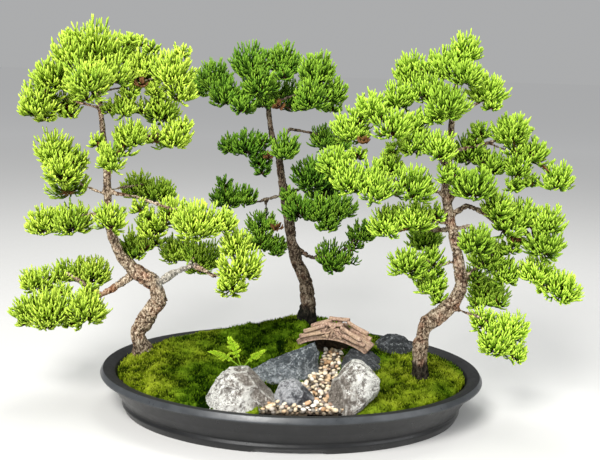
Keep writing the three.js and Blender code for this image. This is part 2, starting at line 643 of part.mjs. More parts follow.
function makeBridge(grow) {
  return placeBridge(joined([archBody(grow), bridgeWall(1, grow), bridgeWall(-1, grow)]));
}

// The fern

// A frond's cut outline: leaflets in pairs along a midrib, each as [share along, share across].
function frondOutline(pinnae) {
  const edge = [[0, 0.05], [0.34, 0.05]];
  for (let step = 0; step < pinnae; step += 1) {
    const share = 0.36 + (0.6 * step) / pinnae;
    const pitch = 0.6 / pinnae;
    const reach = 1 - 0.75 * (step / pinnae) ** 1.3;
    edge.push([share + 0.35 * pitch, reach]);
    edge.push([share + 0.75 * pitch, reach * 0.7]);
    edge.push([share + 0.95 * pitch, 0.12]);
  }
  const otherEdge = edge.map(([along, across]) => [along, -across]).reverse();
  return [...edge, [1, 0], ...otherEdge];
}

function frond({ tip, bow, width, pinnae }) {
  const root = point(FERN_ROOT);
  const end = point(tip);
  const middle = root.clone().lerp(end, 0.5).add(new THREE.Vector3(0, -2, bow));
  const curve = new THREE.QuadraticBezierCurve3(root, middle, end);
  const outward = end.clone().sub(root).cross(new THREE.Vector3(0, 1, 0.5)).normalize();
  const outline = frondOutline(pinnae).map(([along, across]) => new THREE.Vector2(along, across));
  const shape = new THREE.Shape(outline);
  const blade = new THREE.ExtrudeGeometry(shape, { depth: 1, bevelEnabled: false });
  const places = blade.attributes.position;
  for (let index = 0; index < places.count; index += 1) {
    const along = places.getX(index);
    const face = new THREE.Vector3().crossVectors(outward, curve.getTangent(along)).normalize();
    const place = curve.getPoint(along)
      .addScaledVector(outward, places.getY(index) * (width / 2))
      .addScaledVector(face, (0.5 - places.getZ(index)) * FROND_THICKNESS);
    places.setXYZ(index, place.x, place.y, place.z);
  }
  return solidOf(blade);
}

function fernCrown(grow) {
  const crown = new THREE.CylinderGeometry(1.8 + grow, 1.5 + grow, FERN_CROWN_DEPTH + 2 * grow, 5);
  const [x, y, z] = FERN_ROOT;
  return solidOf(crown.rotateX(Math.PI / 2).translate(x, y, z + 1 - FERN_CROWN_DEPTH / 2));
}

function makeFern() {
  return joined([fernCrown(0), ...FRONDS.map(frond)]);
}

// Trunks

function deepened([x, y, z, ...rest], plane) {
  return [x, plane + DEPTH_SPREAD * (y - plane), z, ...rest];
}

function spraysOf(pad, plane) {
  return pad.map((spray) => deepened(spray, plane)).map(([x, y, z, halfWidth, halfHeight]) => ({
    at: new THREE.Vector3(x, y, z - SPRAY_DROP * halfHeight),
    reach: new THREE.Vector3(
      halfWidth * SPRAY_SCALE.width,
      halfWidth * SPRAY_SCALE.depth,
      halfHeight * SPRAY_SCALE.height,
    ),
    bulk: (2 * halfWidth + halfHeight) / 3,
  }));
}

// The straight stretches that a limb is made of, from station to station of its smooth route.
function stretches(route) {
  const places = routeCurve(route).getSpacedPoints(limbSteps(route));
  return places.slice(1).map((place, index) => new THREE.Line3(places[index], place));
}

function limbSteps(route) {
  return route.length > 10 ? route.length - 3 : Math.max(route.length - 2, 1);
}

// The point of the wood nearest to a goal, where a point above the goal counts as further off.
function nearestWood(lines, goal, aboveCost) {
  return lines.reduce((best, line) => {
    const place = line.closestPointToPoint(goal, true, new THREE.Vector3());
    const cost = place.distanceTo(goal) + aboveCost * Math.max(place.z - goal.z, 0);
    return cost < best.cost ? { cost, place } : best;
  }, { cost: Infinity });
}

// A twig to whichever spray of a pad is nearest to the wood, unless a branch runs into it.
function twigTo(lines, sprays) {
  const reached = sprays.map(({ at }) => ({ goal: at, ...nearestWood(lines, at, 0.7) }));
  const { goal, place, cost } = reached.reduce((best, other) => (other.cost < best.cost ? other : best));
  return cost < 4 ? null : [[...place.toArray(), 1.7], [...goal.toArray(), 1.2]];
}

// A tree's wood as routes: its trunk, then its branches, each rooted in the wood before it, and
// the twigs to its pads.
function woodRoutes({ plane, trunk, branches, pads }) {
  const lines = stretches(trunk);
  const limbs = branches.map((route) => {
    const [first, ...rest] = route.map((station) => deepened(station, plane));
    const root = nearestWood(lines, point(first), 0).place;
    const rooted = [[...root.toArray(), first[3]], ...rest];
    lines.push(...stretches(rooted));
    return rooted;
  });
  const twigs = Object.values(pads)
    .map((pad) => twigTo(lines, spraysOf(pad, plane)))
    .filter((route) => route !== null);
  return { trunk, limbs: [...limbs, ...twigs] };
}

function makeWood({ trunk, limbs }, grow) {
  return joined([
    limb(trunk, 7, grow, 0.06),
    ...limbs.map((route) => limb(route, route[0][3] > 2.9 ? 4 : 3, grow)),
  ]);
}

// Points all along a tree's wood, with the radius there.
function woodPoints({ trunk, limbs }) {
  return [trunk, ...limbs].flatMap((route) => (
    routeCurve(route).getSpacedPoints(30).map((place, step) => {
      const station = (step / 30) * (route.length - 1);
      const first = Math.min(Math.floor(station), route.length - 2);
      return { place, radius: THREE.MathUtils.lerp(route[first][3], route[first + 1][3], station - first) };
    })
  ));
}

// Foliage

// How far along the way from a spray's middle to a goal stays on its own side of the planes
// that part it from other sprays, with half the gap to spare.
function freeShare(spray, rivals, goal, gap) {
  return rivals.reduce((share, rival) => {
    const apart = spray.at.clone().sub(rival.at);
    const balance = rival.at.lengthSq() - spray.at.lengthSq() + spray.bulk ** 2 - rival.bulk ** 2;
    const sideOf = (p) => 2 * p.dot(apart) + balance - gap * apart.length();
    const here = sideOf(spray.at);
    const there = sideOf(goal);
    if (here <= 0) return 0;
    return there < 0 ? Math.min(share, here / (here - there)) : share;
  }, 1);
}

function held(spray, rivals, goal, gap = PAD_GAP) {
  return spray.at.clone().lerp(goal, freeShare(spray, rivals, goal, gap));
}

// Whether a cord would run into wood on its way out.
function meetsWood(foot, tip, wood) {
  return [0.25, 0.6, 0.95].some((share) => {
    const place = foot.clone().lerp(tip, share);
    return wood.some((spot) => spot.place.distanceTo(place) < spot.radius + WOOD_CLEARANCE * (1.4 - share));
  });
}

// One spray: a slim many-sided core with a three-sided tapering cord raised from most of its
// faces, thickest above. Its core runs into the cores of the sprays that it is linked to.
function makeSpray(spray, kin, rivals, links, wood, random) {
  const core = mergeVertices(bareIcosahedron());
  const turn = new THREE.Quaternion().setFromEuler(new THREE.Euler(
    random() * 0.8,
    random() * 0.8,
    random() * 2 * Math.PI,
  ));
  const corners = Array.from({ length: core.attributes.position.count }, (_, index) => {
    const way = new THREE.Vector3().fromBufferAttribute(core.attributes.position, index);
    way.applyQuaternion(turn);
    return way.multiplyScalar(CORE_SHARE * (0.85 + 0.3 * random())).multiply(spray.reach).add(spray.at);
  });
  const linked = new Set();
  links.forEach((other) => {
    const way = other.at.clone().sub(spray.at);
    const balance = (spray.bulk ** 2 - other.bulk ** 2) / (2 * way.lengthSq());
    const reach = way.length() * (0.5 + balance) + LINK_LAP;
    way.normalize();
    const nearness = corners.map((corner, index) => (
      linked.has(index) ? -1 : corner.clone().sub(spray.at).normalize().dot(way)
    ));
    const index = nearness.indexOf(Math.max(...nearness));
    linked.add(index);
    corners[index].copy(spray.at).addScaledVector(way, reach);
  });
  const points = corners.map((corner) => held(spray, rivals, corner));
  const faces = [];
  const order = core.index.array;
  for (let face = 0; face < order.length; face += 3) {
    const [a, b, c] = [order[face], order[face + 1], order[face + 2]];
    const corner = [points[a], points[b], points[c]];
    const foot = corner[0].clone().add(corner[1]).add(corner[2]).divideScalar(3);
    const normal = new THREE.Triangle(...corner).getNormal(new THREE.Vector3());
    const outward = foot.clone().sub(spray.at).divide(spray.reach).normalize();
    const length = THREE.MathUtils.lerp(...CORD_LENGTHS, random());
    const onLink = [a, b, c].some((index) => linked.has(index));
    const goal = onLink
      ? normal.clone().lerp(outward, 0.3).multiply(spray.reach).multiplyScalar(0.8 * length).add(foot)
      : outward.clone().multiply(spray.reach).multiplyScalar(length).add(spray.at);
    const tip = held(spray, rivals, held(spray, kin, goal, KIN_GAP));
    const rise = tip.clone().sub(foot).dot(normal);
    const bare = normal.z < BARE_BELOW || meetsWood(foot, tip, wood);
    if (bare || rise < SHORTEST_CORD) {
      faces.push(a, b, c);
      continue;
    }
    const apex = points.push(tip) - 1;
    faces.push(a, b, apex, b, c, apex, c, a, apex);
  }
  return indexedSolid(points.flatMap((p) => p.toArray()), faces);
}

function bareIcosahedron() {
  const geometry = new THREE.IcosahedronGeometry(1, 0);
  geometry.deleteAttribute('normal');
  geometry.deleteAttribute('uv');
  return geometry;
}

// Each spray but the first is linked to the nearest one before it in its pad.
function linksOf(sprays) {
  const links = new Map(sprays.map((spray) => [spray, []]));
  sprays.slice(1).forEach((spray, index) => {
    const nearest = sprays.slice(0, index + 1).reduce((best, other) => (
      other.at.distanceTo(spray.at) < best.at.distanceTo(spray.at) ? other : best
    ));
    links.get(spray).push(nearest);
    links.get(nearest).push(spray);
  });
  return links;
}

function makePad(pad, allPads, woodSpots, woodSockets, random) {
  const others = allPads.filter((other) => other !== pad).flatMap((other) => other.sprays);
  const links = linksOf(pad.sprays);
  const near = (spray, sprays) => sprays.filter((other) => (
    other !== spray && other.at.distanceTo(spray.at) < 1.4 * (other.bulk + spray.bulk) + 14
  ));
  const sprays = pad.sprays.map((spray) => {
    const wood = woodSpots.filter((spot) => spot.place.distanceTo(spray.at) < 2 * spray.reach.x + 8);
    return makeSpray(spray, near(spray, pad.sprays), near(spray, others), links.get(spray), wood, random);
  });
  return joined(sprays).subtract(woodSockets);
}

// The whole garden

function makeGarden() {
  const garden = new THREE.Group();
  garden.name = 'juniper_garden';
  const add = (...parts) => garden.add(nodeMesh(...parts));

  const trees = Object.entries(JUNIPERS);
  const routes = Object.fromEntries(trees.map(([side, tree]) => [side, woodRoutes(tree)]));
  const woodSockets = joined(Object.values(routes).map((wood) => makeWood(wood, SEAT_GAP)));
  const woodSpots = Object.values(routes).flatMap(woodPoints);
  const stoneSockets = Object.values(STONES).map(({ corners }) => stoneHull(corners, SEAT_GAP));
  const fern = makeFern();
  const ground = joined([woodSockets, fernCrown(SEAT_GAP), makeBridge(2 * SEAT_GAP), ...stoneSockets]);

  add('tray', makeTray(), COLOURS.tray, 0.55);
  add('soil', makeSoil(ground), COLOURS.soil, 0.95);
  add('moss_left', mossLayer().intersect(sideBlock(-1)).subtract(ground), COLOURS.moss, 0.95);
  add('moss_right', mossLayer().intersect(sideBlock(1)).subtract(ground), COLOURS.moss, 0.95);
  add('gravel', makeGravel().subtract(ground), COLOURS.gravel, 0.8);
  Object.entries(STONES).forEach(([name, { corners, colour }]) => {
    add(name, stoneHull(corners, 0).subtract(makeBridge(2 * SEAT_GAP)), colour, 0.8);
  });
  add('bridge', makeBridge(0), COLOURS.clay, 0.85);
  add('fern', fern, COLOURS.fern, 0.7);
  Object.entries(routes).forEach(([side, wood]) => {
    add(`trunk_${side}`, makeWood(wood, 0), COLOURS.bark, 0.9);
  });

  const allPads = trees.flatMap(([side, { plane, pads }], tree) => (
    Object.entries(pads).map(([name, pad]) => (
      { name: `foliage_${side}_${name}`, tree, sprays: spraysOf(pad, plane) }
    ))
  ));
  allPads.forEach((pad, index) => {
    const solid = makePad(pad, allPads, woodSpots, woodSockets, randomFrom(101 + index));
    add(pad.name, solid, COLOURS.foliage[pad.tree], 0.75);
  });

  const box = new THREE.Box3().setFromObject(garden);
  const middle = box.getCenter(new THREE.Vector3());
  garden.position.set(-middle.x, -middle.y, -box.min.z);
  return garden;
}

const garden = makeGarden();

export default garden;
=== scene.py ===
# Looks for a miniature Japanese garden: three junipers, moss, stones, pebbles, a fern and a
# small bridge in an oval tray. Lengths in this script are millimetres, measured from the middle
# of the tray with -Y the front, unless a name says otherwise. Blender gets metres.

import itertools
import math

import bmesh
import bpy
import numpy as np
from mathutils import Euler, Matrix, Vector


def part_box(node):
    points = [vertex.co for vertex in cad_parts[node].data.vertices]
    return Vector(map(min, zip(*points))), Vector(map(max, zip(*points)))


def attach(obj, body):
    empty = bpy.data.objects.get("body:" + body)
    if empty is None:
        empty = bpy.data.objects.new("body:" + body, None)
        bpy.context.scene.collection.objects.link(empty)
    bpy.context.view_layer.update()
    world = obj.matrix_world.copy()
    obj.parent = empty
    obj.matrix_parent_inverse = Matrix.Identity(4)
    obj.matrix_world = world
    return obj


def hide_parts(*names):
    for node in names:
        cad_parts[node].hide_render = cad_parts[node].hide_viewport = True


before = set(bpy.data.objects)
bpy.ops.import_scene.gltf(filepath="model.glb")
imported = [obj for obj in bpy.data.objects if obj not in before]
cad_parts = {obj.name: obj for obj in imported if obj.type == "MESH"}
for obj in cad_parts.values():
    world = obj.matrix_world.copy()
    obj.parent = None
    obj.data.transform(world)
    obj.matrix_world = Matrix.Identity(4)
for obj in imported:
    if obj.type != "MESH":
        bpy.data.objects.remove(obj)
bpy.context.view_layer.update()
scene = bpy.context.scene

MM = 0.001
UP = np.array([0.0, 0.0, 1.0])
tray_low, tray_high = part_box("tray")
TRAY_MIDDLE = np.array([(tray_low.x + tray_high.x) / 2, (tray_low.y + tray_high.y) / 2, 0.0])

# Sizes that the solids were made with. A mound is x, y, rise and its spread each way
TRAY_HALF_LENGTH = 222.5
TRAY_HALF_WIDTH = 160.0
GROUND_INSET = 19.4
GROUND_LEVEL = 48.0
PATH_LEVEL = 49.5
MOUNDS = [
    (16, 94, 19, 105, 42), (16, 94, 15, 42, 38), (-177, 14, 11, 42, 46), (-95, 20, 6, 70, 60),
    (150, -30, 9, 46, 40),
]
PATH_LEFT = [(-34, -150), (-27, -112), (-6, -76), (15, -56), (26, -20), (34, 20), (40, 70)]
PATH_RIGHT = [(70, -150), (66, -122), (48, -90), (50, -60), (54, -20), (58, 20), (62, 70)]
PATH_BACK = 70
MATS_PART_AT = 50.0
BRIDGE_PLACE = (52, 38, 63)
BRIDGE_TURN = -0.36
BRIDGE_HALF_WIDTH = 14.0
ARCH_HALF_SPAN = 42
ARCH_RISE = 12
ARCH_DEPTH = 7

# How far the foliage hangs below the solids that stand for it, and how far below its middle a spray's
# fans begin, as a share of their length
SAG = 1.6
ROOT_DROP = 0.5
CORD_RADII = (1.0, 0.95)
DRY_TONE = -1.0

# The camera that was fitted to the tray's rim in the photo. It looks down and leans by these degrees
CAMERA_PLACE = np.array([5.0, -992.0, 396.0])
FOCAL_PIXELS = 883.0
PHOTO_WIDTH = 600
PHOTO_HEIGHT = 460
LOOKS_DOWN = 10.44
LEANS = 1.76

# What a pad has beside its solid's sprays: how much more sunlit or shaded its green is painted than its
# tree's, the green sprays that close the crown around it, and its dead brown ones. A green spray is the
# pixel where the photo shows its middle, across and down, its depth y, half width and half height. A dead
# one is x, y, z, half width and half height
PADS = {
    "left_crown_top": (0, [
        (130, 37, 8, 14, 8), (152, 45, 8, 12, 8), (70, 33, 0, 12, 8),
    ], [(-219, -14, 371, 9, 6)]),
    "left_crown_left": (0, [(86, 93, 4, 12, 10), (45, 113, -2, 14, 9), (70, 110, 6, 12, 9)], []),
    "left_crown_right": (0.15, [(182, 49, -2, 12, 9)], [(-175, -8, 376, 8, 7)]),
    "left_crown_under": (0, [(130, 87, -4, 15, 9), (156, 87, 6, 15, 9), (109, 106, -4, 9, 11)], []),
    "left_upper_arm": (0, [(97, 139, -14, 10, 12), (184, 123, 2, 12, 12)], [(-164, -6, 314, 9, 5)]),
    "left_left_mid": (0, [(79, 155, 0, 12, 16)], []),
    "left_right_mid": (0.1, [(139, 205, -4, 12, 13)], []),
    "left_inner_up": (-0.3, [(136, 251, 16, 13, 11), (156, 239, 22, 12, 11)], []),
    "left_low_right_back": (-0.25, [(197, 264, 22, 18, 9)], []),
    "left_low_left": (0, [
        (62, 288, -6, 14, 8), (88, 286, -4, 14, 8), (25, 319, -8, 12, 9), (47, 321, -12, 14, 9),
        (71, 319, -12, 13, 9), (96, 316, -12, 11, 8),
    ], [(-289, -18, 110, 8, 6)]),
    "left_low_right": (0.15, [], []),
    "left_right_back": (-0.25, [], []),
    "middle_crown_top": (0, [(284, 72, 84, 14, 11)], []),
    "middle_crown_right": (0.18, [(302, 103, 84, 14, 9), (332, 104, 90, 14, 9)], []),
    "middle_crown_back": (0, [(264, 100, 88, 14, 10)], [(-27, 84, 353, 10, 6)]),
    "middle_neck_left": (-0.2, [(263, 139, 84, 12, 11), (262, 168, 92, 12, 10)], [(-37, 84, 291, 7, 6)]),
    "middle_left_twig": (-0.15, [(224, 180, 95, 12, 9)], []),
    "middle_right_mid": (-0.05, [(288, 192, 84, 12, 11)], []),
    "middle_left_low": (0, [(276, 250, 98, 11, 8)], [(-24, 88, 202, 8, 5)]),
    "middle_right_low": (-0.1, [(333, 263, 96, 16, 9)], []),
    "middle_crown_left": (-0.1, [], [(-60, 76, 347, 7, 5)]),
    "middle_right_up": (-0.1, [], []),
    "right_crown_right": (0, [(492, 102, -36, 13, 9)], []),
    "right_left_up": (0.07, [
        (436, 112, -48, 16, 13), (452, 110, -50, 12, 11),
    ], [(70, -44, 323, 7, 5), (90, -44, 332, 8, 5)]),
    "right_left_main": (0.09, [(393, 146, -30, 11, 9), (359, 151, -32, 11, 9)], []),
    "right_trunk_front": (-0.1, [(450, 171, -58, 18, 14)], []),
    "right_trunk_right": (-0.25, [(480, 129, -24, 15, 12)], []),
    "right_right_up": (0, [(514, 183, -33, 12, 11), (531, 178, -30, 12, 10)], []),
    "right_left_mid": (0.3, [(436, 212, -34, 12, 15)], [(118, -40, 229, 7, 5)]),
    "right_right_mid": (0, [(511, 245, -32, 14, 12)], [(241, -40, 221, 8, 5)]),
    "right_left_low": (0, [(424, 284, -30, 12, 14), (440, 296, -26, 11, 12)], []),
    "right_right_far_low": (0.45, [(547, 284, -36, 14, 9)], []),
    "right_right_back_low": (0, [
        (474, 272, -14, 12, 14), (498, 299, -14, 15, 9), (476, 302, -16, 11, 10),
    ], []),
    "right_back_fill": (-0.3, [], []),
    "right_low_right": (0.5, [], []),
    "right_crown_left": (-0.1, [], [(170, -44, 364, 11, 5)]),
    "right_right_big": (0.08, [], []),
    "right_trunk_right_front": (-0.2, [], []),
}

# Limbs of the left trunk whose bark is orange or silvery
ORANGE_LIMB = [(-214, -1, 134), (-246, -8, 122), (-270, -12, 114)]
SILVER_LIMB = [(-150, 7, 148), (-141, 6, 156), (-121, 4, 171)]


# Points, noise and meshes


def placed(points):
    """Millimetres from the middle of the tray, as metres in the frame."""
    return np.asarray(points, float) * MM + TRAY_MIDDLE


def taken(points):
    """Metres in the frame, as millimetres from the middle of the tray."""
    return (np.asarray(points, float) - TRAY_MIDDLE) / MM


def lattice(cells, seed):
    """A repeatable random number from 0 to 1 for each whole-number cell."""
    mixed = cells[..., 0] * 73856093 ^ cells[..., 1] * 19349663 ^ cells[..., 2] * 83492791 ^ seed * 40503
    mixed = (mixed ^ (mixed >> 13)) * 1274126177
    return ((mixed ^ (mixed >> 16)) & 0xFFFF) / 65535


def smooth_noise(points, seed=0):
    """Smooth noise from -1 to 1, with features about one unit across."""
    cells = np.floor(points).astype(np.int64)
    share = points - cells
    share = share * share * (3 - 2 * share)
    total = np.zeros(points.shape[:-1])
    for corner in itertools.product((0, 1), repeat=3):
        corner = np.array(corner)
        weight = np.prod(np.where(corner == 1, share, 1 - share), axis=-1)
        total += weight * lattice(cells + corner, seed)
    return 2 * total - 1


def rough_noise(points, octaves, seed=0):
    """Noise with finer and finer detail, each octave half as strong as the one before."""
    total = np.zeros(points.shape[:-1])
    for octave in range(octaves):
        total += smooth_noise(points * 2**octave + 17.3 * octave, seed + octave) / 2**octave
    return total


def rising(value, low, high):
    """0 up to low, 1 from high on, and a smooth step between."""
    share = np.clip((value - low) / (high - low), 0, 1)
    return share * share * (3 - 2 * share)


def fading(value, low, high):
    return 1 - rising(value, low, high)


def columns(*parts):
    """Numbers and arrays side by side, as the last axis of one array."""
    return np.stack(np.broadcast_arrays(*parts), axis=-1)


def unit(vectors):
    return vectors / np.maximum(np.linalg.norm(vectors, axis=-1, keepdims=True), 1e-9)


def on_curve(t, start, bend, end):
    """The place at t, from 0 to 1, on a curve that leaves its start towards a bend."""
    return (1 - t) ** 2 * start + 2 * t * (1 - t) * bend + t**2 * end


def heading_on_curve(t, start, bend, end):
    return unit(2 * (1 - t) * (bend - start) + 2 * t * (end - bend))


def new_object(name, data):
    thing = bpy.data.objects.new(name, data)
    scene.collection.objects.link(thing)
    return thing


def modify(thing, kind, **settings):
    modifier = thing.modifiers.new(kind.lower(), kind)
    for key, value in settings.items():
        setattr(modifier, key, value)


def modified(thing):
    bpy.context.view_layer.update()
    return thing.evaluated_get(bpy.context.evaluated_depsgraph_get())


def join_shapes(shapes):
    """One shape from several, where a shape is (points, [faces, ...], {name: value for each point})."""
    points = np.concatenate([shape[0] for shape in shapes])
    starts = np.cumsum([0] + [len(shape[0]) for shape in shapes[:-1]])
    faces = [f + start for shape, start in zip(shapes, starts) for f in shape[1]]
    values = {name: np.concatenate([shape[2][name] for shape in shapes]) for name in shapes[0][2]}
    return points, faces, values


def add_piece(name, shape, material, node):
    """A mesh object in the frame from a shape, that stands for a node."""
    points, faces, values = shape
    mesh = bpy.data.meshes.new(name)
    mesh.vertices.add(len(points))
    mesh.vertices.foreach_set("co", placed(points).astype(np.float32).ravel())
    corners = np.concatenate([f.ravel() for f in faces]).astype(np.int32)
    sizes = np.concatenate([np.full(len(f), f.shape[1]) for f in faces])
    mesh.loops.add(len(corners))
    mesh.loops.foreach_set("vertex_index", corners)
    mesh.polygons.add(len(sizes))
    mesh.polygons.foreach_set("loop_start", np.concatenate([[0], np.cumsum(sizes)[:-1]]).astype(np.int32))
    mesh.update(calc_edges=True)
    mesh.validate()
    mesh.shade_smooth()
    for key, value in values.items():
        mesh.attributes.new(key, "FLOAT", "POINT").data.foreach_set("value", value.astype(np.float32))
    mesh.materials.append(material)
    piece = new_object(name, mesh)
    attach(piece, "root")
    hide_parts(node)
    return piece


def remeshed(node, voxel, smoothing):
    """A node's solid as an even, smoothed mesh: its points, faces and normals."""
    work = new_object("work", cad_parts[node].data.copy())
    modify(work, "WELD", merge_threshold=1e-6)
    modify(work, "REMESH", mode="VOXEL", voxel_size=voxel * MM)
    modify(work, "SMOOTH", iterations=smoothing, factor=0.5)
    done = modified(work).to_mesh()
    points, normals = np.empty((2, len(done.vertices) * 3))
    done.vertices.foreach_get("co", points)
    done.vertices.foreach_get("normal", normals)
    corners = [p.vertices[:] for p in done.polygons]
    faces = [np.array([c for c in corners if len(c) == size]) for size in sorted(set(map(len, corners)))]
    bpy.data.objects.remove(work)
    return taken(points.reshape(-1, 3)), faces, normals.reshape(-1, 3)


def ring_faces(rings, sides):
    """Quads between closed rings of points that follow each other."""
    ring = np.arange(rings - 1)[:, None] * sides
    side = np.arange(sides)
    after = (side + 1) % sides
    return columns(ring + side, ring + after, ring + sides + after, ring + sides + side).reshape(-1, 4)


def capped_rings(rings, sides):
    """The faces of a tube through rings of points, with one flat face at either end."""
    side = np.arange(sides)[None]
    return [ring_faces(rings, sides), side[:, ::-1], side + (rings - 1) * sides]


def fan_faces(first, sides, apex):
    """Triangles from the ring of points that starts at first to an apex."""
    side = np.arange(sides)
    return columns(first + side, first + (side + 1) % sides, apex)


def sheet_faces(keep):
    """Quads between the kept places of a grid, which are numbered in their order."""
    index = np.full(keep.shape, -1)
    index[keep] = np.arange(keep.sum())
    quads = columns(index[:-1, :-1], index[1:, :-1], index[1:, 1:], index[:-1, 1:]).reshape(-1, 4)
    return quads[(quads >= 0).all(axis=1)]


def tubes(starts, bends, ends, radii, stations, sides, tip_range, tones, rng):
    """Bent, tapered twigs with blunt ends. tip runs along each one and tone is its own."""
    count = len(starts)
    t = np.array(stations)[:, None]
    curve = starts[:, None], bends[:, None], ends[:, None]
    tangent = heading_on_curve(t, *curve)
    across = unit(np.cross(tangent, unit(rng.normal(size=(count, 3)))[:, None]))
    upright = np.cross(tangent, across)
    angle = (np.arange(sides) * 2 * math.pi / sides)[:, None]
    around = across[:, :, None] * np.cos(angle) + upright[:, :, None] * np.sin(angle)
    radius = radii[0] * (1 - t) + radii[1] * t
    rings = on_curve(t, *curve)[:, :, None] + around * radius[:, :, None]
    apex = ends + tangent[:, -1] * radii[1] * 1.1
    points = np.concatenate([rings.reshape(count, -1, 3), apex[:, None]], axis=1).reshape(-1, 3)
    last = len(stations) * sides
    per = last + 1
    one = ring_faces(len(stations), sides), fan_faces(last - sides, sides, last), np.arange(sides)[None, ::-1]
    first = (np.arange(count) * per)[:, None, None]
    faces = [(part + first).reshape(-1, part.shape[1]) for part in one]
    low, high = (np.broadcast_to(end, (count,))[:, None] for end in tip_range)
    tip = low + (high - low) * np.append(np.repeat(np.array(stations), sides), 1.0)
    return points, faces, {"tip": tip.ravel(), "tone": np.repeat(tones, per)}


def tube(start, bend, end, radii, stations, sides, tip_range, rng):
    """One such twig, with a middling tone."""
    ends = start[None], bend[None], end[None]
    return tubes(*ends, radii, stations, sides, tip_range, np.array([0.5]), rng)


# Materials


class Nodes:
    """A short way to write a material's nodes. A colour is its red, green and blue."""

    def __init__(self, name):
        self.material = bpy.data.materials.new(name)
        self.material.use_nodes = True
        self.tree = self.material.node_tree
        self.surface = self.tree.nodes["Principled BSDF"]
        self.place = self.add("TexCoord", "Object")

    def put(self, node, inputs):
        """Links outputs to a node's inputs, or sets the inputs to plain values or colours."""
        for key, value in inputs.items():
            socket = node.inputs[key]
            if isinstance(value, bpy.types.NodeSocket):
                self.tree.links.new(value, socket)
            else:
                socket.default_value = (*value, 1.0) if socket.type == "RGBA" else value

    def add(self, kind, output, inputs={}, **settings):
        """The output of a new node."""
        node = self.tree.nodes.new("ShaderNode" + kind)
        for key, value in settings.items():
            setattr(node, key, value)
        self.put(node, inputs)
        return node.outputs[output]

    def stretched(self, scale):
        return self.add("Mapping", "Vector", {"Vector": self.place, "Scale": scale})

    def noise(self, size, detail=4, roughness=0.6, place=None):
        """Noise with features about size millimetres across."""
        inputs = {"Scale": 1 / (size * MM), "Detail": detail, "Roughness": roughness}
        return self.add("TexNoise", "Fac", {"Vector": place or self.place, **inputs})

    def cells(self, size):
        return self.add("TexVoronoi", "Distance", {"Vector": self.place, "Scale": 1 / (size * MM)})

    def given(self, attribute):
        return self.add("Attribute", "Fac", attribute_name=attribute)

    def ramp(self, value, *stops):
        """Colours along a value, from stops that each are a position and its colour."""
        colour_out = self.add("ValToRGB", "Color", {"Fac": value})
        elements = colour_out.node.color_ramp.elements
        while len(elements) < len(stops):
            elements.new(0.5)
        for element, (position, *colour) in zip(elements, stops):
            element.position = position
            element.color = (*colour, 1)
        return colour_out

    def mix(self, share, first, second):
        return self.add("Mix", 2, {0: share, 6: first, 7: second}, data_type="RGBA")

    def maths(self, operation, first, second=0):
        return self.add("Math", 0, {0: first, 1: second}, operation=operation)

    def plus(self, first, second):
        return self.maths("ADD", first, second)

    def times(self, first, second):
        return self.maths("MULTIPLY", first, second)

    def range(self, value, low, high, to_low=0, to_high=1):
        inputs = {"Value": value, "From Min": low, "From Max": high, "To Min": to_low, "To Max": to_high}
        return self.add("MapRange", "Result", inputs)

    def bump(self, height, depth, strength=1):
        """Relief of about depth millimetres."""
        inputs = {"Height": height, "Distance": depth * MM, "Strength": strength}
        self.put(self.surface, {"Normal": self.add("Bump", "Normal", inputs)})

    def finish(self, colour, roughness, specular):
        self.put(self.surface, {"Base Color": colour, "Roughness": roughness, "Specular IOR Level": specular})
        return self.material


def tray_plastic():
    n = Nodes("tray_plastic")
    cloud = n.noise(34, 5, 0.65)
    plain = (0.3, 0.004, 0.0045, 0.005), (0.6, 0.009, 0.0095, 0.0105), (0.8, 0.024, 0.025, 0.028)
    rim_highlight = (0.3, 0.02, 0.023, 0.026), (0.7, 0.052, 0.057, 0.063)
    # The rim is painted lighter: a painted highlight on the lip.
    colour = n.mix(n.given("rim"), n.ramp(cloud, *plain), n.ramp(cloud, *rim_highlight))
    n.bump(n.noise(0.9, 3), 0.1, 0.5)
    rough = n.plus(n.range(n.noise(9, 5), 0.3, 0.7, 0.26, 0.4), n.times(n.given("top"), 0.3))
    return n.finish(colour, rough, 0.42)


def potting_mix():
    n = Nodes("potting_mix")
    crumb = n.cells(2.4)
    brown = (0.35, 0.012, 0.009, 0.006), (0.55, 0.04, 0.027, 0.016), (0.75, 0.09, 0.06, 0.035)
    colour = n.ramp(n.noise(4, 5), *brown)
    n.bump(crumb, 1.2)
    return n.finish(colour, 0.95, 0.1)


def moss_green():
    n = Nodes("moss_green")
    # tone carries the moss's painted light and shade: lighter cushions and darker hollows.
    clump = n.plus(n.times(n.noise(4.5, 6, 0.85), 0.6), n.times(n.given("tone"), 0.4))
    deep = n.ramp(clump, (0.36, 0.004, 0.012, 0.001), (0.5, 0.035, 0.08, 0.003), (0.66, 0.14, 0.24, 0.012))
    fresh = n.ramp(clump, (0.36, 0.012, 0.026, 0.002), (0.5, 0.13, 0.185, 0.005), (0.66, 0.34, 0.42, 0.025))
    colour = n.mix(n.given("fresh"), deep, fresh)
    shoots = n.mix(n.given("fresh"), (0.13, 0.25, 0.008), (0.46, 0.54, 0.05))
    colour = n.mix(n.times(n.given("tip"), n.given("tone")), colour, shoots)
    n.bump(n.noise(1.2, 5, 0.8), 1.6)
    return n.finish(colour, 0.95, 0)


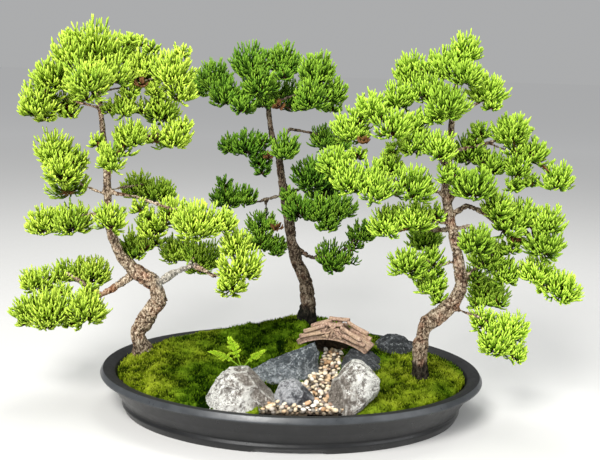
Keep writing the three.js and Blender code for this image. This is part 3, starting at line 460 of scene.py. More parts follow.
def juniper_green(name, shaded, sunlit):
    """Scale-leaf green along each cord, from brown wood to a fresh tip. tone runs from shaded to sunlit."""
    n = Nodes(name)
    tip = n.given("tip")
    wood = (0, 0.2, 0.08, 0.025), (0.14, 0.1, 0.062, 0.013)
    places = (0.3, 0.68, 0.97)
    low, high = (
        n.ramp(tip, *wood, *((place, *colour) for place, colour in zip(places, colours)))
        for colours in (shaded, sunlit)
    )
    colour = n.mix(n.given("tone"), low, high)
    colour = n.mix(n.range(n.noise(1.3, 2), 0.35, 0.65, 0, 0.3), colour, shaded[0])
    dead = n.ramp(tip, (0, 0.035, 0.014, 0.006), (0.5, 0.085, 0.034, 0.013), (1, 0.17, 0.08, 0.028))
    colour = n.mix(n.range(n.given("tone"), 0.6 * DRY_TONE, 0.2 * DRY_TONE, 1, 0), colour, dead)
    n.bump(n.noise(0.8, 2), 0.25, 0.6)
    return n.finish(colour, 0.65, 0.14)


def juniper_bark(name, light):
    """Flaking bark, its colours scaled by light. The middle tree's far darker copy is painted shade."""
    n = Nodes(name)
    flakes = n.noise(1.5, 7, 0.86, n.stretched((1, 1, 0.55)))
    patches = n.noise(9, 3, 0.6)
    height = n.plus(n.times(n.given("raised"), 0.12), n.times(flakes, 0.9))
    height = n.plus(height, n.times(patches, 0.2))
    grey = (
        (0.525, 0.02, 0.012, 0.007), (0.592, 0.095, 0.062, 0.04), (0.644, 0.24, 0.175, 0.115),
        (0.695, 0.48, 0.38, 0.27), (0.76, 0.76, 0.66, 0.52),
    )
    red = (
        (0.525, 0.02, 0.01, 0.006), (0.592, 0.1, 0.045, 0.026), (0.644, 0.25, 0.13, 0.078),
        (0.695, 0.46, 0.3, 0.2), (0.76, 0.7, 0.54, 0.42),
    )
    looks = [
        n.ramp(height, *((place, *(light * part for part in colour)) for place, *colour in stops))
        for stops in (grey, red)
    ]
    colour = n.mix(n.range(n.noise(15, 4, 0.6), 0.5, 0.66), *looks)
    orange = (0.5, 0.05, 0.012, 0.004), (0.62, 0.34, 0.1, 0.03), (0.76, 0.6, 0.26, 0.11)
    colour = n.mix(n.times(n.given("orange"), 0.75), colour, n.ramp(height, *orange))
    silver = (0.48, 0.09, 0.08, 0.065), (0.6, 0.4, 0.39, 0.34), (0.74, 0.75, 0.75, 0.7)
    colour = n.mix(n.times(n.given("silver"), 0.8), colour, n.ramp(height, *silver))
    # Darker towards the foot of each trunk.
    foot_darkness = (0.5, 0.002, 0.002, 0.0015), (0.68, 0.01, 0.009, 0.006), (0.84, 0.07, 0.062, 0.042)
    colour = n.mix(n.given("darker_foot"), colour, n.ramp(height, *foot_darkness))
    n.bump(flakes, 1.6)
    return n.finish(colour, 0.9, 0.15)


def pebble_stone():
    n = Nodes("pebble_stone")
    kinds = (
        (0, 0.02, 0.017, 0.014), (0.04, 0.44, 0.26, 0.13), (0.11, 0.6, 0.43, 0.26),
        (0.27, 0.74, 0.62, 0.43), (0.45, 0.82, 0.74, 0.58), (0.61, 0.9, 0.86, 0.78),
        (0.78, 0.34, 0.23, 0.17), (0.84, 0.19, 0.16, 0.14), (0.89, 0.52, 0.48, 0.42),
        (0.95, 0.58, 0.36, 0.21),
    )
    colour = n.ramp(n.given("tone"), *kinds)
    colour.node.color_ramp.interpolation = "CONSTANT"
    colour = n.mix(n.range(n.noise(1.6, 4), 0.42, 0.7, 0, 0.45), colour, (0.42, 0.27, 0.16))
    # Painted shade between and under the pebbles.
    colour = n.mix(n.given("painted_shade"), colour, (0.05, 0.037, 0.025))
    n.bump(n.noise(1, 3), 0.25)
    return n.finish(colour, 0.5, 0.4)


def stone_surface(name, stops, stain_and_shade_stops, pit, vein=None, vein_share=0):
    """Rough stone: mottled, darker on one side as stain and painted shade, pitted with specks, with painted
    shade in its cracks and its edges lighter as wear and painted highlight, and veined if asked.
    """
    n = Nodes(name)
    mottle = n.noise(2.6, 8, 0.86)
    ragged = n.plus(n.given("stain_and_shade"), n.range(n.noise(6, 6, 0.75), 0.3, 0.7, -0.8, 0.8))
    colour = n.mix(n.range(ragged, 0.3, 0.7), n.ramp(mottle, *stops), n.ramp(mottle, *stain_and_shade_stops))
    specks = n.range(n.noise(1.5, 5, 0.85), 0.53, 0.56)
    colour = n.mix(specks, colour, pit)
    # Lighter along the facet edges: partly wear, partly painted highlight.
    wear_and_highlight = n.times(n.given("edge"), n.range(n.noise(3, 4, 0.7), 0.4, 0.55, 0, 0.75))
    colour = n.mix(wear_and_highlight, colour, stops[-2][1:])
    # Darker in the cracks: painted shade.
    colour = n.mix(n.times(n.given("crevice"), 0.8), colour, pit)
    if vein:
        contour = n.maths("FRACT", n.times(n.noise(11, 4, 0.6), 5))
        line = n.range(n.maths("ABSOLUTE", n.maths("SUBTRACT", contour, 0.5)), 0, 0.17, 1, 0)
        broken = n.range(n.noise(5, 5, 0.7), 0.44, 0.6, 0, vein_share)
        colour = n.mix(n.times(line, broken), colour, vein)
    n.bump(n.noise(2, 8, 0.84), 2.2)
    return n.finish(colour, 0.75, 0.35)


def fired_clay():
    n = Nodes("fired_clay")
    grain = (
        (0.3, 0.07, 0.035, 0.022), (0.42, 0.27, 0.165, 0.115), (0.54, 0.5, 0.345, 0.26),
        (0.66, 0.66, 0.5, 0.4), (0.8, 0.8, 0.68, 0.58),
    )
    colour = n.ramp(n.noise(1.9, 6, 0.72), *grain)
    colour = n.mix(n.range(n.noise(13, 3), 0.45, 0.65, 0, 0.35), colour, (0.62, 0.47, 0.28))
    # Painted shade of the bridge: under the arch, and behind and between the logs.
    colour = n.mix(n.given("painted_shade"), colour, (0.03, 0.016, 0.01))
    n.bump(n.noise(1.2, 5, 0.7), 0.6)
    return n.finish(colour, 0.85, 0.2)


def fern_green():
    n = Nodes("fern_green")
    colour = n.ramp(n.given("tip"), (0, 0.16, 0.3, 0.02), (0.4, 0.45, 0.75, 0.02), (1, 0.76, 0.94, 0.07))
    colour = n.mix(n.range(n.noise(2.5, 3), 0.4, 0.7, 0, 0.4), colour, (0.3, 0.6, 0.015))
    n.bump(n.noise(1, 2), 0.1)
    return n.finish(colour, 0.5, 0.3)


# Tray


def rounded_section(section, radius):
    """A closed section with each corner cut into a small curve."""
    corners = np.array(section, float)
    curve = []
    for index, corner in enumerate(corners):
        before = corners[index - 1] - corner
        after = corners[(index + 1) % len(corners)] - corner
        reach = min(radius, 0.42 * np.linalg.norm(before), 0.42 * np.linalg.norm(after))
        for t in (0, 0.25, 0.5, 0.75, 1):
            curve.append(on_curve(t, corner + unit(before) * reach, corner, corner + unit(after) * reach))
    return np.array(curve)


def make_tray():
    """The shell, from a section of insets from the rim's outside and heights, with its drain holes cut."""
    sides = 180
    foot_top, notch_height, under_rim = 3.2, 3, 44.4
    hole_radius, hole_spacing = 8, 110
    section = [
        (38, 4), (35, 0), (28, 0), (24, 8.5), (26, 12), (18, 25), (8, 43), (0.6, 43.3), (0, 45.2),
        (3.4, 50.9), (10, 50), (17, 47), (33, 9),
    ]
    inset, height = rounded_section(section, 1.1).T[..., None]
    foot = (height < foot_top) & (inset > 20)
    high = height > under_rim
    angle = np.linspace(0, 2 * math.pi, sides, endpoint=False)
    x = (TRAY_HALF_LENGTH - inset) * np.cos(angle)
    y = (TRAY_HALF_WIDTH - inset) * np.sin(angle)
    notch = fading(np.minimum(np.abs(x), np.abs(y)), 33.5, 35.5)
    z = np.maximum(height, notch_height * notch * foot)
    middles = [(0, 0, 4), (0, 0, 9)]
    points = np.concatenate([columns(x, y, z).reshape(-1, 3), middles])
    last = (len(inset) - 1) * sides
    lids = fan_faces(0, sides, last + sides)[:, ::-1], fan_faces(last, sides, last + sides + 1)
    # rim is the lip's outer face, which gets the painted highlight; top is only made rougher.
    parts = {"rim": (inset < 3.3) & high, "top": (inset > 3.3) & high}
    values = {name: np.append(np.repeat(part, sides), [0, 0]).astype(float) for name, part in parts.items()}
    shape = (points, [ring_faces(len(inset), sides), *lids], values)
    tray = add_piece("tray_shell", shape, tray_plastic(), "tray")
    drills = []
    for x in (-hole_spacing, 0, hole_spacing):
        work = bmesh.new()
        size = {"radius1": hole_radius * MM, "radius2": hole_radius * MM, "depth": 30 * MM}
        bmesh.ops.create_cone(work, cap_ends=True, segments=32, **size)
        bmesh.ops.translate(work, verts=work.verts, vec=Vector(placed([x, 0, 6])))
        mesh = bpy.data.meshes.new("drill")
        work.to_mesh(mesh)
        work.free()
        drills.append(new_object("drill", mesh))
        modify(tray, "BOOLEAN", operation="DIFFERENCE", solver="EXACT", object=drills[-1])
    done = bpy.data.meshes.new_from_object(modified(tray))
    tray.modifiers.clear()
    tray.data = done
    for drill in drills:
        bpy.data.objects.remove(drill)


# Ground


def edge_at(edge, y):
    xs, ys = zip(*edge)
    return np.interp(y, ys, xs)


def out_share(x, y, inset=0):
    """How far out a place lies, as a share of the way to the tray's oval or to one inside it."""
    return np.hypot(x / (TRAY_HALF_LENGTH - inset), y / (TRAY_HALF_WIDTH - inset))


def flat_noise(x, y, size, octaves, seed):
    return rough_noise(columns(x, y, 0) / size, octaves, seed)


def ground_height(x, y):
    """The height of the smooth ground, with mounds that fall away to the path."""
    raised = np.full(np.shape(x), GROUND_LEVEL)
    for cx, cy, rise, spread_x, spread_y in MOUNDS:
        raised += rise * np.exp(-(((x - cx) / spread_x) ** 2 + ((y - cy) / spread_y) ** 2) / 2)
    edged = raised + (GROUND_LEVEL - raised) * rising(out_share(x, y), 0.72, 0.93)
    beside = np.maximum(edge_at(PATH_LEFT, y) - x, x - edge_at(PATH_RIGHT, y))
    banked = rising(np.maximum(beside, y - PATH_BACK), 2, 24)
    return np.minimum(PATH_LEVEL, edged) * (1 - banked) + edged * banked


def on_path(x, y, margin):
    inside = (x > edge_at(PATH_LEFT, y) - margin) & (x < edge_at(PATH_RIGHT, y) + margin)
    return inside & (y < PATH_BACK + margin)


def in_ground(x, y, inset=GROUND_INSET):
    return out_share(x, y, inset) < 1


def moss_lumps(x, y):
    """How far the moss swells, from about -1 in its hollows to 1 on its cushions."""
    lumps = ((0.45, 15, 3), (0.5, 7, 4), (0.25, 3.4, 5))
    return sum(swell * flat_noise(x, y, size, 1, seed) for swell, size, seed in lumps)


def moss_height(x, y):
    inner = fading(out_share(x, y, GROUND_INSET), 0.93, 1)
    return ground_height(x, y) + 3.2 * moss_lumps(x, y) * (0.35 + 0.65 * inner) - 1.2 * (1 - inner)


def moss_painted_shade(x, y):
    """Painted light and shade: lighter on the moss's cushions, darker in its hollows, and painted shade
    between the front stones.
    """
    spots = [(-22, -72, 16), (-92, -112, 12), (24, -24, 12)]
    shade = sum(np.exp(-(((x - cx) ** 2 + (y - cy) ** 2) / size**2)) for cx, cy, size in spots)
    return 0.5 + 0.7 * moss_lumps(x, y) - 0.9 * np.clip(shade, 0, 1)


def moss_freshness(x, y):
    """How yellow the moss is: most at the far left and front right, least behind the middle."""
    left = 0.7 * np.exp(-(((x + 180) / 36) ** 2))
    right = 0.3 * np.exp(-(((x - 120) / 60) ** 2 + ((y + 60) / 50) ** 2))
    back = 0.55 * np.exp(-(((x + 20) / 90) ** 2 + ((y - 75) / 60) ** 2))
    return np.clip(0.45 + 0.75 * flat_noise(x, y, 34, 2, 14) + left + right - back, 0, 1)


def make_moss(which, side, seed, material):
    """A mat of moss: a lumpy sheet with its rim turned down, and short shoots all over it."""
    pitch, thickness, shoots_per_quad = 2.6, 5.5, 1.3
    grid = np.meshgrid(np.arange(-206, 207, pitch), np.arange(-144, 145, pitch), indexing="ij")
    jitter = np.random.default_rng(seed)
    xs, ys = (line + jitter.uniform(-0.3, 0.3, line.shape) * pitch for line in grid)
    keep = in_ground(xs, ys) & ~on_path(xs, ys, -1.5) & (side * (xs - MATS_PART_AT) > 0)
    x, y = xs[keep], ys[keep]
    points = columns(x, y, moss_height(x, y))
    quads = sheet_faces(keep)
    edges = np.concatenate([quads[:, [i, (i + 1) % 4]] for i in range(4)])
    known = {tuple(edge) for edge in edges.tolist()}
    rim = np.array([edge for edge in known if (edge[1], edge[0]) not in known])
    skirt = columns(rim[:, 1], rim[:, 0], rim[:, 0] + len(points), rim[:, 1] + len(points))
    wanted, numbers = np.unique(np.concatenate([quads, skirt]), return_inverse=True)
    sheet = np.concatenate([points, points - thickness * UP])[wanted]
    tones = np.clip(moss_painted_shade(*sheet.T[:2]), -0.3, 1)
    values = {"tip": np.zeros(len(sheet)), "tone": tones, "fresh": moss_freshness(*sheet.T[:2])}

    count = int(len(quads) * shoots_per_quad)
    rng = np.random.default_rng(seed + 1)
    chosen = quads[rng.integers(0, len(quads), count)]
    mixing = rng.dirichlet((1, 1, 1, 1), count)
    roots = np.einsum("nk,nkc->nc", mixing, points[chosen]) - 0.4 * UP
    lean = columns(rng.normal(0, 0.45, count), rng.normal(0, 0.45, count), 1)
    tips = roots + unit(lean) * rng.uniform(1.6, 4.2, count)[:, None]
    tones = np.clip(moss_painted_shade(*roots.T[:2]) + rng.normal(0, 0.3, count), 0, 1)
    shoots = tubes(roots, (roots + tips) / 2, tips, (0.85, 0.3), (0,), 3, (0.2, 1), tones, rng)
    shoots[2]["fresh"] = moss_freshness(*shoots[0].T[:2])
    shape = join_shapes([(sheet, [numbers.reshape(-1, 4)], values), shoots])
    add_piece(f"moss_mat_{which}", shape, material, f"moss_{which}")


def make_gravel():
    """Loose pebbles in two uneven layers on a bed, with painted shade on the bed, on the lower layer and low
    down on each pebble.
    """
    rng = np.random.default_rng(5)
    work = bmesh.new()
    bmesh.ops.create_icosphere(work, subdivisions=2, radius=1)
    ball = np.array([v.co[:] for v in work.verts])
    ball_faces = np.array([[v.index for v in f.verts] for f in work.faces])
    work.free()
    shapes = []
    for pitch, lift, small, large, shade in ((5.2, -1.6, 1.9, 3.3, 0.75), (7, 1, 1.7, 3.8, 0)):
        grid = np.array([(x, y) for x in np.arange(-44, 80, pitch) for y in np.arange(-146, 74, pitch * 0.9)])
        grid = grid + rng.uniform(-0.45, 0.45, grid.shape) * pitch
        for x, y in grid[on_path(*grid.T, 0.5) & in_ground(*grid.T, GROUND_INSET + 1.5)]:
            size = rng.uniform(small, large) * np.array([1.0, *rng.uniform((0.6, 0.5), (0.95, 0.85))])
            turn = np.array(Euler(rng.uniform(-0.5, 0.5, 3) * (1, 1, 6)).to_matrix())
            lumpy = ball * (1 + 0.26 * smooth_noise(ball * 1.3 + rng.uniform(0, 90, 3), 2)[:, None])
            points = (lumpy * size) @ turn.T + (x, y, PATH_LEVEL + lift + rng.uniform(-0.8, 0.8))
            # Painted shade: all over the lower layer, and low down on each pebble.
            sunk = 0.9 * fading((points[:, 2] - PATH_LEVEL) / large, -0.4, 0.45)
            tone = np.full(len(ball), rng.uniform(0.05, 1.0))
            shapes.append((points, [ball_faces], {"tone": tone, "painted_shade": np.maximum(shade, sunk)}))
    xs, ys = np.meshgrid(np.arange(-46, 82, 4), np.arange(-148, 74, 4), indexing="ij")
    keep = in_ground(xs, ys) & on_path(xs, ys, 3)
    # The bed is painted dark all over, as the shade between the pebbles.
    bed = columns(xs[keep], ys[keep], PATH_LEVEL - 3.4)
    shapes.append((bed, [sheet_faces(keep)], {"tone": np.full(len(bed), 0.01), "painted_shade": np.ones(len(bed))}))
    add_piece("gravel_pebbles", join_shapes(shapes), pebble_stone(), "gravel")


# Stones


def make_stone(node, material, seed, relief, chip_count, swell, planes, stain_and_shade_side):
    """The node's block, swollen and then broken along planes with slightly rounded edges, which are painted
    lighter as wear and highlight. A plane is its normal and how far out it cuts, both in a space where the
    block is as long and as high as it is wide."""
    points, faces, _ = remeshed(node, 1.6, 1)
    middle = (points.min(axis=0) + points.max(axis=0)) / 2
    half = np.ptp(points, axis=0) / 2
    rng = np.random.default_rng(seed)
    chips = [(*direction, rng.uniform(0.93, 1.06)) for direction in rng.normal(size=(chip_count, 3))]
    block = (points - middle) / half
    ways = unit(block)
    reaches = [swell * np.linalg.norm(block, axis=1)]
    for *direction, share in [*planes, *chips]:
        reaches.append(share / np.maximum(ways @ unit(np.array(direction, float)), 0.05))
    crispness = 45
    evened = ways * (-np.log(np.exp(-crispness * np.array(reaches)).sum(axis=0)) / crispness)[:, None]
    nearest, next_nearest = np.sort(reaches, axis=0)[:2]
    # edge marks the facet edges, painted lighter as wear and highlight.
    edge = fading(next_nearest - nearest, 0, 0.07)
    evened = evened * (1 + 0.05 * smooth_noise(points / 14, seed)[:, None])
    sunk = np.clip(-ways[:, 2], 0, 0.7)
    evened[:, :2] *= (0.45 + 0.55 / np.sqrt(1 - sunk**2))[:, None]
    outward = unit(ways / half)
    side = unit(np.array(stain_and_shade_side, float))
    # Darker on one side: partly stain, partly painted shade.
    stain_and_shade = 0.5 + 0.55 * evened @ side + 0.3 * (outward @ side)
    cracks = np.abs(rough_noise(points * (1, 1, 1.6) / 8, 2, seed + 4))
    crevice = fading(cracks + 0.25 * smooth_noise(points / 5, seed + 7), 0, 0.13)
    rough = relief * (rough_noise(points / 4.2, 3, seed + 9) - 1.3 * crevice)
    points = middle + evened * half + outward * rough[:, None]
    values = {"stain_and_shade": stain_and_shade, "crevice": crevice, "edge": edge * (1 - crevice)}
    piece = add_piece(node + "_rock", (points, faces, values), material, node)
    piece.data.set_sharp_from_angle(angle=math.radians(24))


# Bridge


def bridge_place(points):
    """From the bridge's own frame, along its span, across it and up, to the garden's."""
    c, s = math.cos(BRIDGE_TURN), math.sin(BRIDGE_TURN)
    x, y, z = BRIDGE_PLACE
    along, across, up = points.T
    return columns(x + along * c - across * s, y + along * s + across * c, z + up)


def rough_log(start, end, radius, seed, sides, rings):
    """A short log with split bark, closed and slightly domed at its ends."""
    start, end = np.array(start, float), np.array(end, float)
    axis = unit(end - start)
    across = unit(np.cross(axis, [0.13, 0.97, 0.21]))
    other = np.cross(axis, across)
    share = np.concatenate([[0, 0], np.linspace(0.02, 0.98, rings - 4), [1, 1]])
    swell = np.concatenate([[0.02, 0.8], np.ones(rings - 4), [0.8, 0.02]])
    angle = np.arange(sides) * 2 * math.pi / sides
    at = columns(share[:, None] * 3, np.cos(angle) * 1.7, np.sin(angle) * 1.7)
    bark = rough_noise(at + seed * 7.1, 2, seed)
    size = radius * swell[:, None] * (1 + 0.16 * bark)
    bow = 0.25 * radius * np.sin(share * math.pi * 1.3 + seed)
    centre = start + (end - start) * share[:, None] + other * bow[:, None]
    around = across * np.cos(angle)[:, None] + other * np.sin(angle)[:, None]
    points = (centre[:, None] + around * size[:, :, None]).reshape(-1, 3)
    ends = 1 - 0.6 * rising(share, 0, 0.02) * fading(share, 0.98, 1)
    # Painted shade, in the splits of the bark and on each log's underside.
    split = 0.75 * rising(-bark, 0, 0.5) * ends[:, None]
    painted_shade = np.maximum(split, 0.8 * rising(-around[:, 2], 0.25, 0.8))
    return points, capped_rings(rings, sides), {"painted_shade": painted_shade.ravel()}


def arch_band():
    """The arch itself: a curved slab with rough, rounded edges, its deck ribbed by the logs laid across it,
    and painted shade beneath it and on its sides behind the logs.
    """
    half = BRIDGE_HALF_WIDTH
    radius = (ARCH_HALF_SPAN**2 + ARCH_RISE**2) / (2 * ARCH_RISE)
    spread = math.asin(ARCH_HALF_SPAN / radius)
    steps = 72
    angle = np.linspace(-spread, spread, steps)[:, None]
    section = rounded_section([(-half, 0), (-half, ARCH_DEPTH), (half, ARCH_DEPTH), (half, 0)], 1.2)
    fine = []
    for first, second in zip(section, np.roll(section, -1, axis=0)):
        count = max(1, int(np.linalg.norm(second - first) / 2.2))
        fine.extend(first + (second - first) * (i / count) for i in range(count))
    sides = len(fine)
    across, out = (np.broadcast_to(part, (steps, sides)) for part in np.array(fine)[::-1].T)
    away = radius + out
    points = columns(away * np.sin(angle), across, ARCH_RISE - radius + away * np.cos(angle))
    relief = 0.45 * rough_noise(points / 4.5, 3, 31)
    ribs = np.where(out > ARCH_DEPTH - 1.4, 0.7 * np.abs(np.sin(angle * radius / 4.4 * math.pi / 2)), 0.0)
    outward = columns(np.sin(angle), 0, np.cos(angle))
    points = points + outward * (relief * 0.6 + ribs)[..., None]
    points[..., 1] += np.sign(across) * (np.abs(across) > half - 1.3) * relief
    # Painted shade: near black under the arch, and darker on the band's sides behind the logs.
    painted_shade = np.where(out < 0.5, 0.98, np.where(out > 3.4, 0.55, 0.0)) * (out < ARCH_DEPTH - 0.5)
    return points.reshape(-1, 3), capped_rings(steps, sides), {"painted_shade": painted_shade.ravel()}


def make_bridge():
    """The arch and its two walls of logs. A log is where its ends lie, along and up, and its radius."""
    long_logs = [
        (-41, 11, -13, 20.5, 3.2), (-36, 18, -9, 29.5, 2.8), (41, 10.5, 13, 20.5, 3.2),
        (37, 17, 10, 29.5, 2.8), (-13, 31.5, 13, 32, 2.5),
    ]
    sticks = [
        (-8, 17, 4, 31, 1.6), (9, 17, -3, 31, 1.6), (-12, 21, -6, 27, 1.3), (13, 20, 6, 28, 1.4),
        (-1, 16, 1, 26, 1.3), (-16, 19, -3, 22, 1.5), (4, 21, 17, 19, 1.5), (-3, 27, 9, 25, 1.3),
        (-5, 15, -10, 24, 1.5), (5, 25, 12, 15, 1.6), (-12, 16, -3, 19, 1.3), (0, 30, 6, 20, 1.5),
        (2, 15, 8, 20, 1.3),
    ]
    half = BRIDGE_HALF_WIDTH
    kinds = (long_logs, half - 1, 0.4, 2, 12, 14), (sticks, half - 0.4, 0.9, 3, 8, 9)
    shapes = []
    for side in (-1, 1):
        for logs, inner, step, cycle, sides, rings in kinds:
            for index, (x, z, end_x, end_z, radius) in enumerate(logs):
                y = side * (inner + step * (index % cycle))
                seed = 41 + len(shapes)
                shapes.append(rough_log((x, y, z), (end_x, y, end_z), radius, seed, sides, rings))
    points, faces, values = join_shapes(shapes)
    # Painted shade on the inner logs and sticks, low in the middle of each wall where they cross.
    crossing = fading(np.abs(points[:, 0]), 13, 19) * fading(points[:, 2], 25, 27)
    between = fading(np.abs(points[:, 1]) - half, -0.4, 1)
    values["painted_shade"] = np.maximum(values["painted_shade"], 0.9 * crossing * between)
    points, faces, values = join_shapes([arch_band(), (points, faces, values)])
    shape = bridge_place(points), faces, values
    add_piece("bridge_logs", shape, fired_clay(), "bridge")


# Fern


def blades(bases, along, across, lengths, tips, tones):
    """Small closed leaves, pointed at both ends and thickest in the middle."""
    lengths = lengths[:, None]
    aside = across * (0.56 * lengths) / 2
    face = unit(np.cross(along, across)) * 0.25
    middle = bases + along * lengths * 0.45
    corners = [bases, middle + aside, bases + along * lengths, middle - aside, middle + face, middle - face]
    points = np.stack(corners, axis=1).reshape(-1, 3)
    one = np.array([(0, 1, 4), (1, 2, 4), (2, 3, 4), (3, 0, 4), (1, 0, 5), (2, 1, 5), (3, 2, 5), (0, 3, 5)])
    faces = (one + len(corners) * np.arange(len(bases))[:, None, None]).reshape(-1, 3)
    tip = np.clip(tips[:, None] + (-0.15, 0, 0.15, 0, 0, 0), 0, 1).ravel()
    return points, [faces], {"tip": tip, "tone": np.repeat(tones, len(corners))}


def make_fern():
    """Lacy fronds: leaflets in pairs on side ribs, and the side ribs in pairs on a midrib. A frond is its
    tip, how far it bows up, how wide it is and its pairs of ribs."""
    root = np.array([-57.0, -22.0, 53.0])
    fronds = [((-73, -26, 93), 5, 25, 7), ((-96, -30, 75), 10, 19, 7), ((-29, -30, 79), 7, 15, 6)]
    rng = np.random.default_rng(8)
    shapes = []
    for tip, bow, width, pairs in fronds:
        tip = np.array(tip, float)
        midrib = root, (root + tip) / 2 + (0, -2, bow), tip
        shapes.append(tube(*midrib, (0.7, 0.3), np.linspace(0, 1, 9), 5, (0, 0.5), rng))
        sideways = unit(np.cross(tip - root, np.array([0.0, 1.0, 0.5])))
        for pair, side in itertools.product(range(pairs), (-1, 1)):
            share = pair / pairs
            at = on_curve(0.33 + 0.65 * share, *midrib)
            along = heading_on_curve(0.33 + 0.65 * share, *midrib)
            reach = width / 2 * (0.35 + 0.65 * min(1, share / 0.22)) * (1 - 0.9 * max(0, share - 0.22))
            reach *= 1 - 0.55 * share
            way = unit(side * sideways + 0.5 * along + rng.normal(0, 0.12, 3))
            end = at + way * reach - UP * 0.16 * reach
            rib = at, (at + end) / 2 + UP * 0.06 * reach, end
            shapes.append(tube(*rib, (0.35, 0.2), (0, 0.5, 1), 3, (0.3, 0.6), rng))
            count = max(2, int(reach / 1.7))
            where = (np.repeat(np.arange(count), 2) + 0.7) / (count + 0.4)
            sign = np.tile([-1, 1], count)[:, None]
            heading = unit(sign * along + 0.65 * way + rng.normal(0, 0.12, (2 * count, 3)))
            flat = unit(way - heading * (heading @ way)[:, None])
            lengths = (2.9 - 1.2 * where) * rng.uniform(0.85, 1.15, 2 * count)
            tones = np.full(2 * count, rng.random())
            bases = on_curve(where[:, None], *rib)
            shapes.append(blades(bases, heading, flat, lengths, 0.45 + 0.55 * where, tones))
    top, foot = root + (0, 0, 1), root - (0, 0, 11)
    shapes.append(tube(foot, (foot + top) / 2, top, (1.5, 1.8), (0, 0.5, 1), 8, (0, 0.1), rng))
    add_piece("fern_fronds", join_shapes(shapes), fern_green(), "fern")


# Junipers


def near_line(points, line, reach):
    """1 on the line through some places, falling to 0 at reach from it."""
    closest = np.full(len(points), np.inf)
    for start, end in itertools.pairwise(np.array(line, float)):
        way = end - start
        share = np.clip((points - start) @ way / (way @ way), 0, 1)
        closest = np.minimum(closest, np.linalg.norm(points - start - share[:, None] * way, axis=1))
    return fading(closest, 0.4 * reach, reach)


def make_trunk(side, seed, material, foot_darkness, slimmer=0, orange_limb=(), silver_limb=()):
    """A tree's wood with flaking, ridged bark, its foot darker by so much and slimmer all round by so many
    millimetres. raised is 0 in the cracks and 1 on the flakes."""
    points, faces, normals = remeshed(f"trunk_{side}", 1.45, 3)
    plates = rough_noise(points * (1, 1, 0.6) / 3.1, 2, seed)
    raised = rising(np.abs(plates), 0, 0.32)
    knots = 1.5 * smooth_noise(points / 13, seed + 5) + 0.7 * smooth_noise(points / 6.5, seed + 6)
    above = points[:, 2] - ground_height(*points.T[:2])
    size = 0.28 + 0.72 * fading(above, 70, 270)
    flare = 2 * fading(above, -4, 13) * (0.6 + 0.6 * smooth_noise(points / 7, seed + 8))
    flare -= slimmer * fading(above, 50, 120)
    points = points + normals * ((2 * raised - 1.2 + knots) * size + flare)[:, None]
    mottle = 0.5 + 0.5 * smooth_noise(points / 9, seed + 3)
    values = {
        "darker_foot": foot_darkness * fading(above + 4 * smooth_noise(points / 6, seed), 13, 23),
        "raised": raised,
        "orange": near_line(points, orange_limb, 16) * (0.4 + 0.6 * mottle),
        "silver": near_line(points, silver_limb, 15) * (0.5 + 0.5 * mottle),
    }
    add_piece(f"wood_{side}", (points, faces, values), material, f"trunk_{side}")


def cords_of(node):
    """The raised cords of a foliage solid: each one's tip and the middle of its foot."""
    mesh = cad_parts[node].data
    places = taken(np.array([v.co[:] for v in mesh.vertices]))
    keys, inverse = np.unique(np.round(places, 2), axis=0, return_inverse=True)
    triangles = inverse.reshape(-1)[np.array([p.vertices[:] for p in mesh.polygons])]
    tips, feet = [], []
    for corner in np.flatnonzero(np.bincount(triangles.ravel()) == 3):
        around = triangles[(triangles == corner).any(axis=1)]
        ring = set(around.ravel().tolist()) - {corner}
        foot = keys[list(ring)].mean(axis=0)
        if len(ring) == 3 and np.linalg.norm(keys[corner] - foot) > 3:
            tips.append(keys[corner])
            feet.append(foot)
    return np.array(tips), np.array(feet)


def sprays_of(node):
    """Groups a node's cords by the spray that they grow from: (middle, tips) of each spray."""
    tips, feet = cords_of(node)
    to_middle, spread, same_spray = 1.34, 5.0, 6.0
    middles = tips - to_middle * (tips - feet)
    settled = middles.copy()
    for _ in range(6):
        near = np.exp(-((settled[:, None] - middles[None]) ** 2).sum(-1) / (2 * spread**2))
        settled = near @ middles / near.sum(axis=1, keepdims=True)
    groups = []
    for index, place in enumerate(settled):
        for group in groups:
            if np.linalg.norm(settled[group[0]] - place) < same_spray:
                group.append(index)
                break
        else:
            groups.append([index])
    return [(settled[group].mean(axis=0), tips[group]) for group in groups if len(group) > 1]


def even_directions(count):
    step = np.arange(count) + 0.5
    height = 1 - 2 * step / count
    turn = math.pi * (1 + 5**0.5) * step
    level = np.sqrt(1 - height**2)
    return columns(level * np.cos(turn), level * np.sin(turn), height)


def turned_directions(count, rng):
    return even_directions(count) @ np.array(Euler(rng.uniform(0, 3, 3)).to_matrix()).T


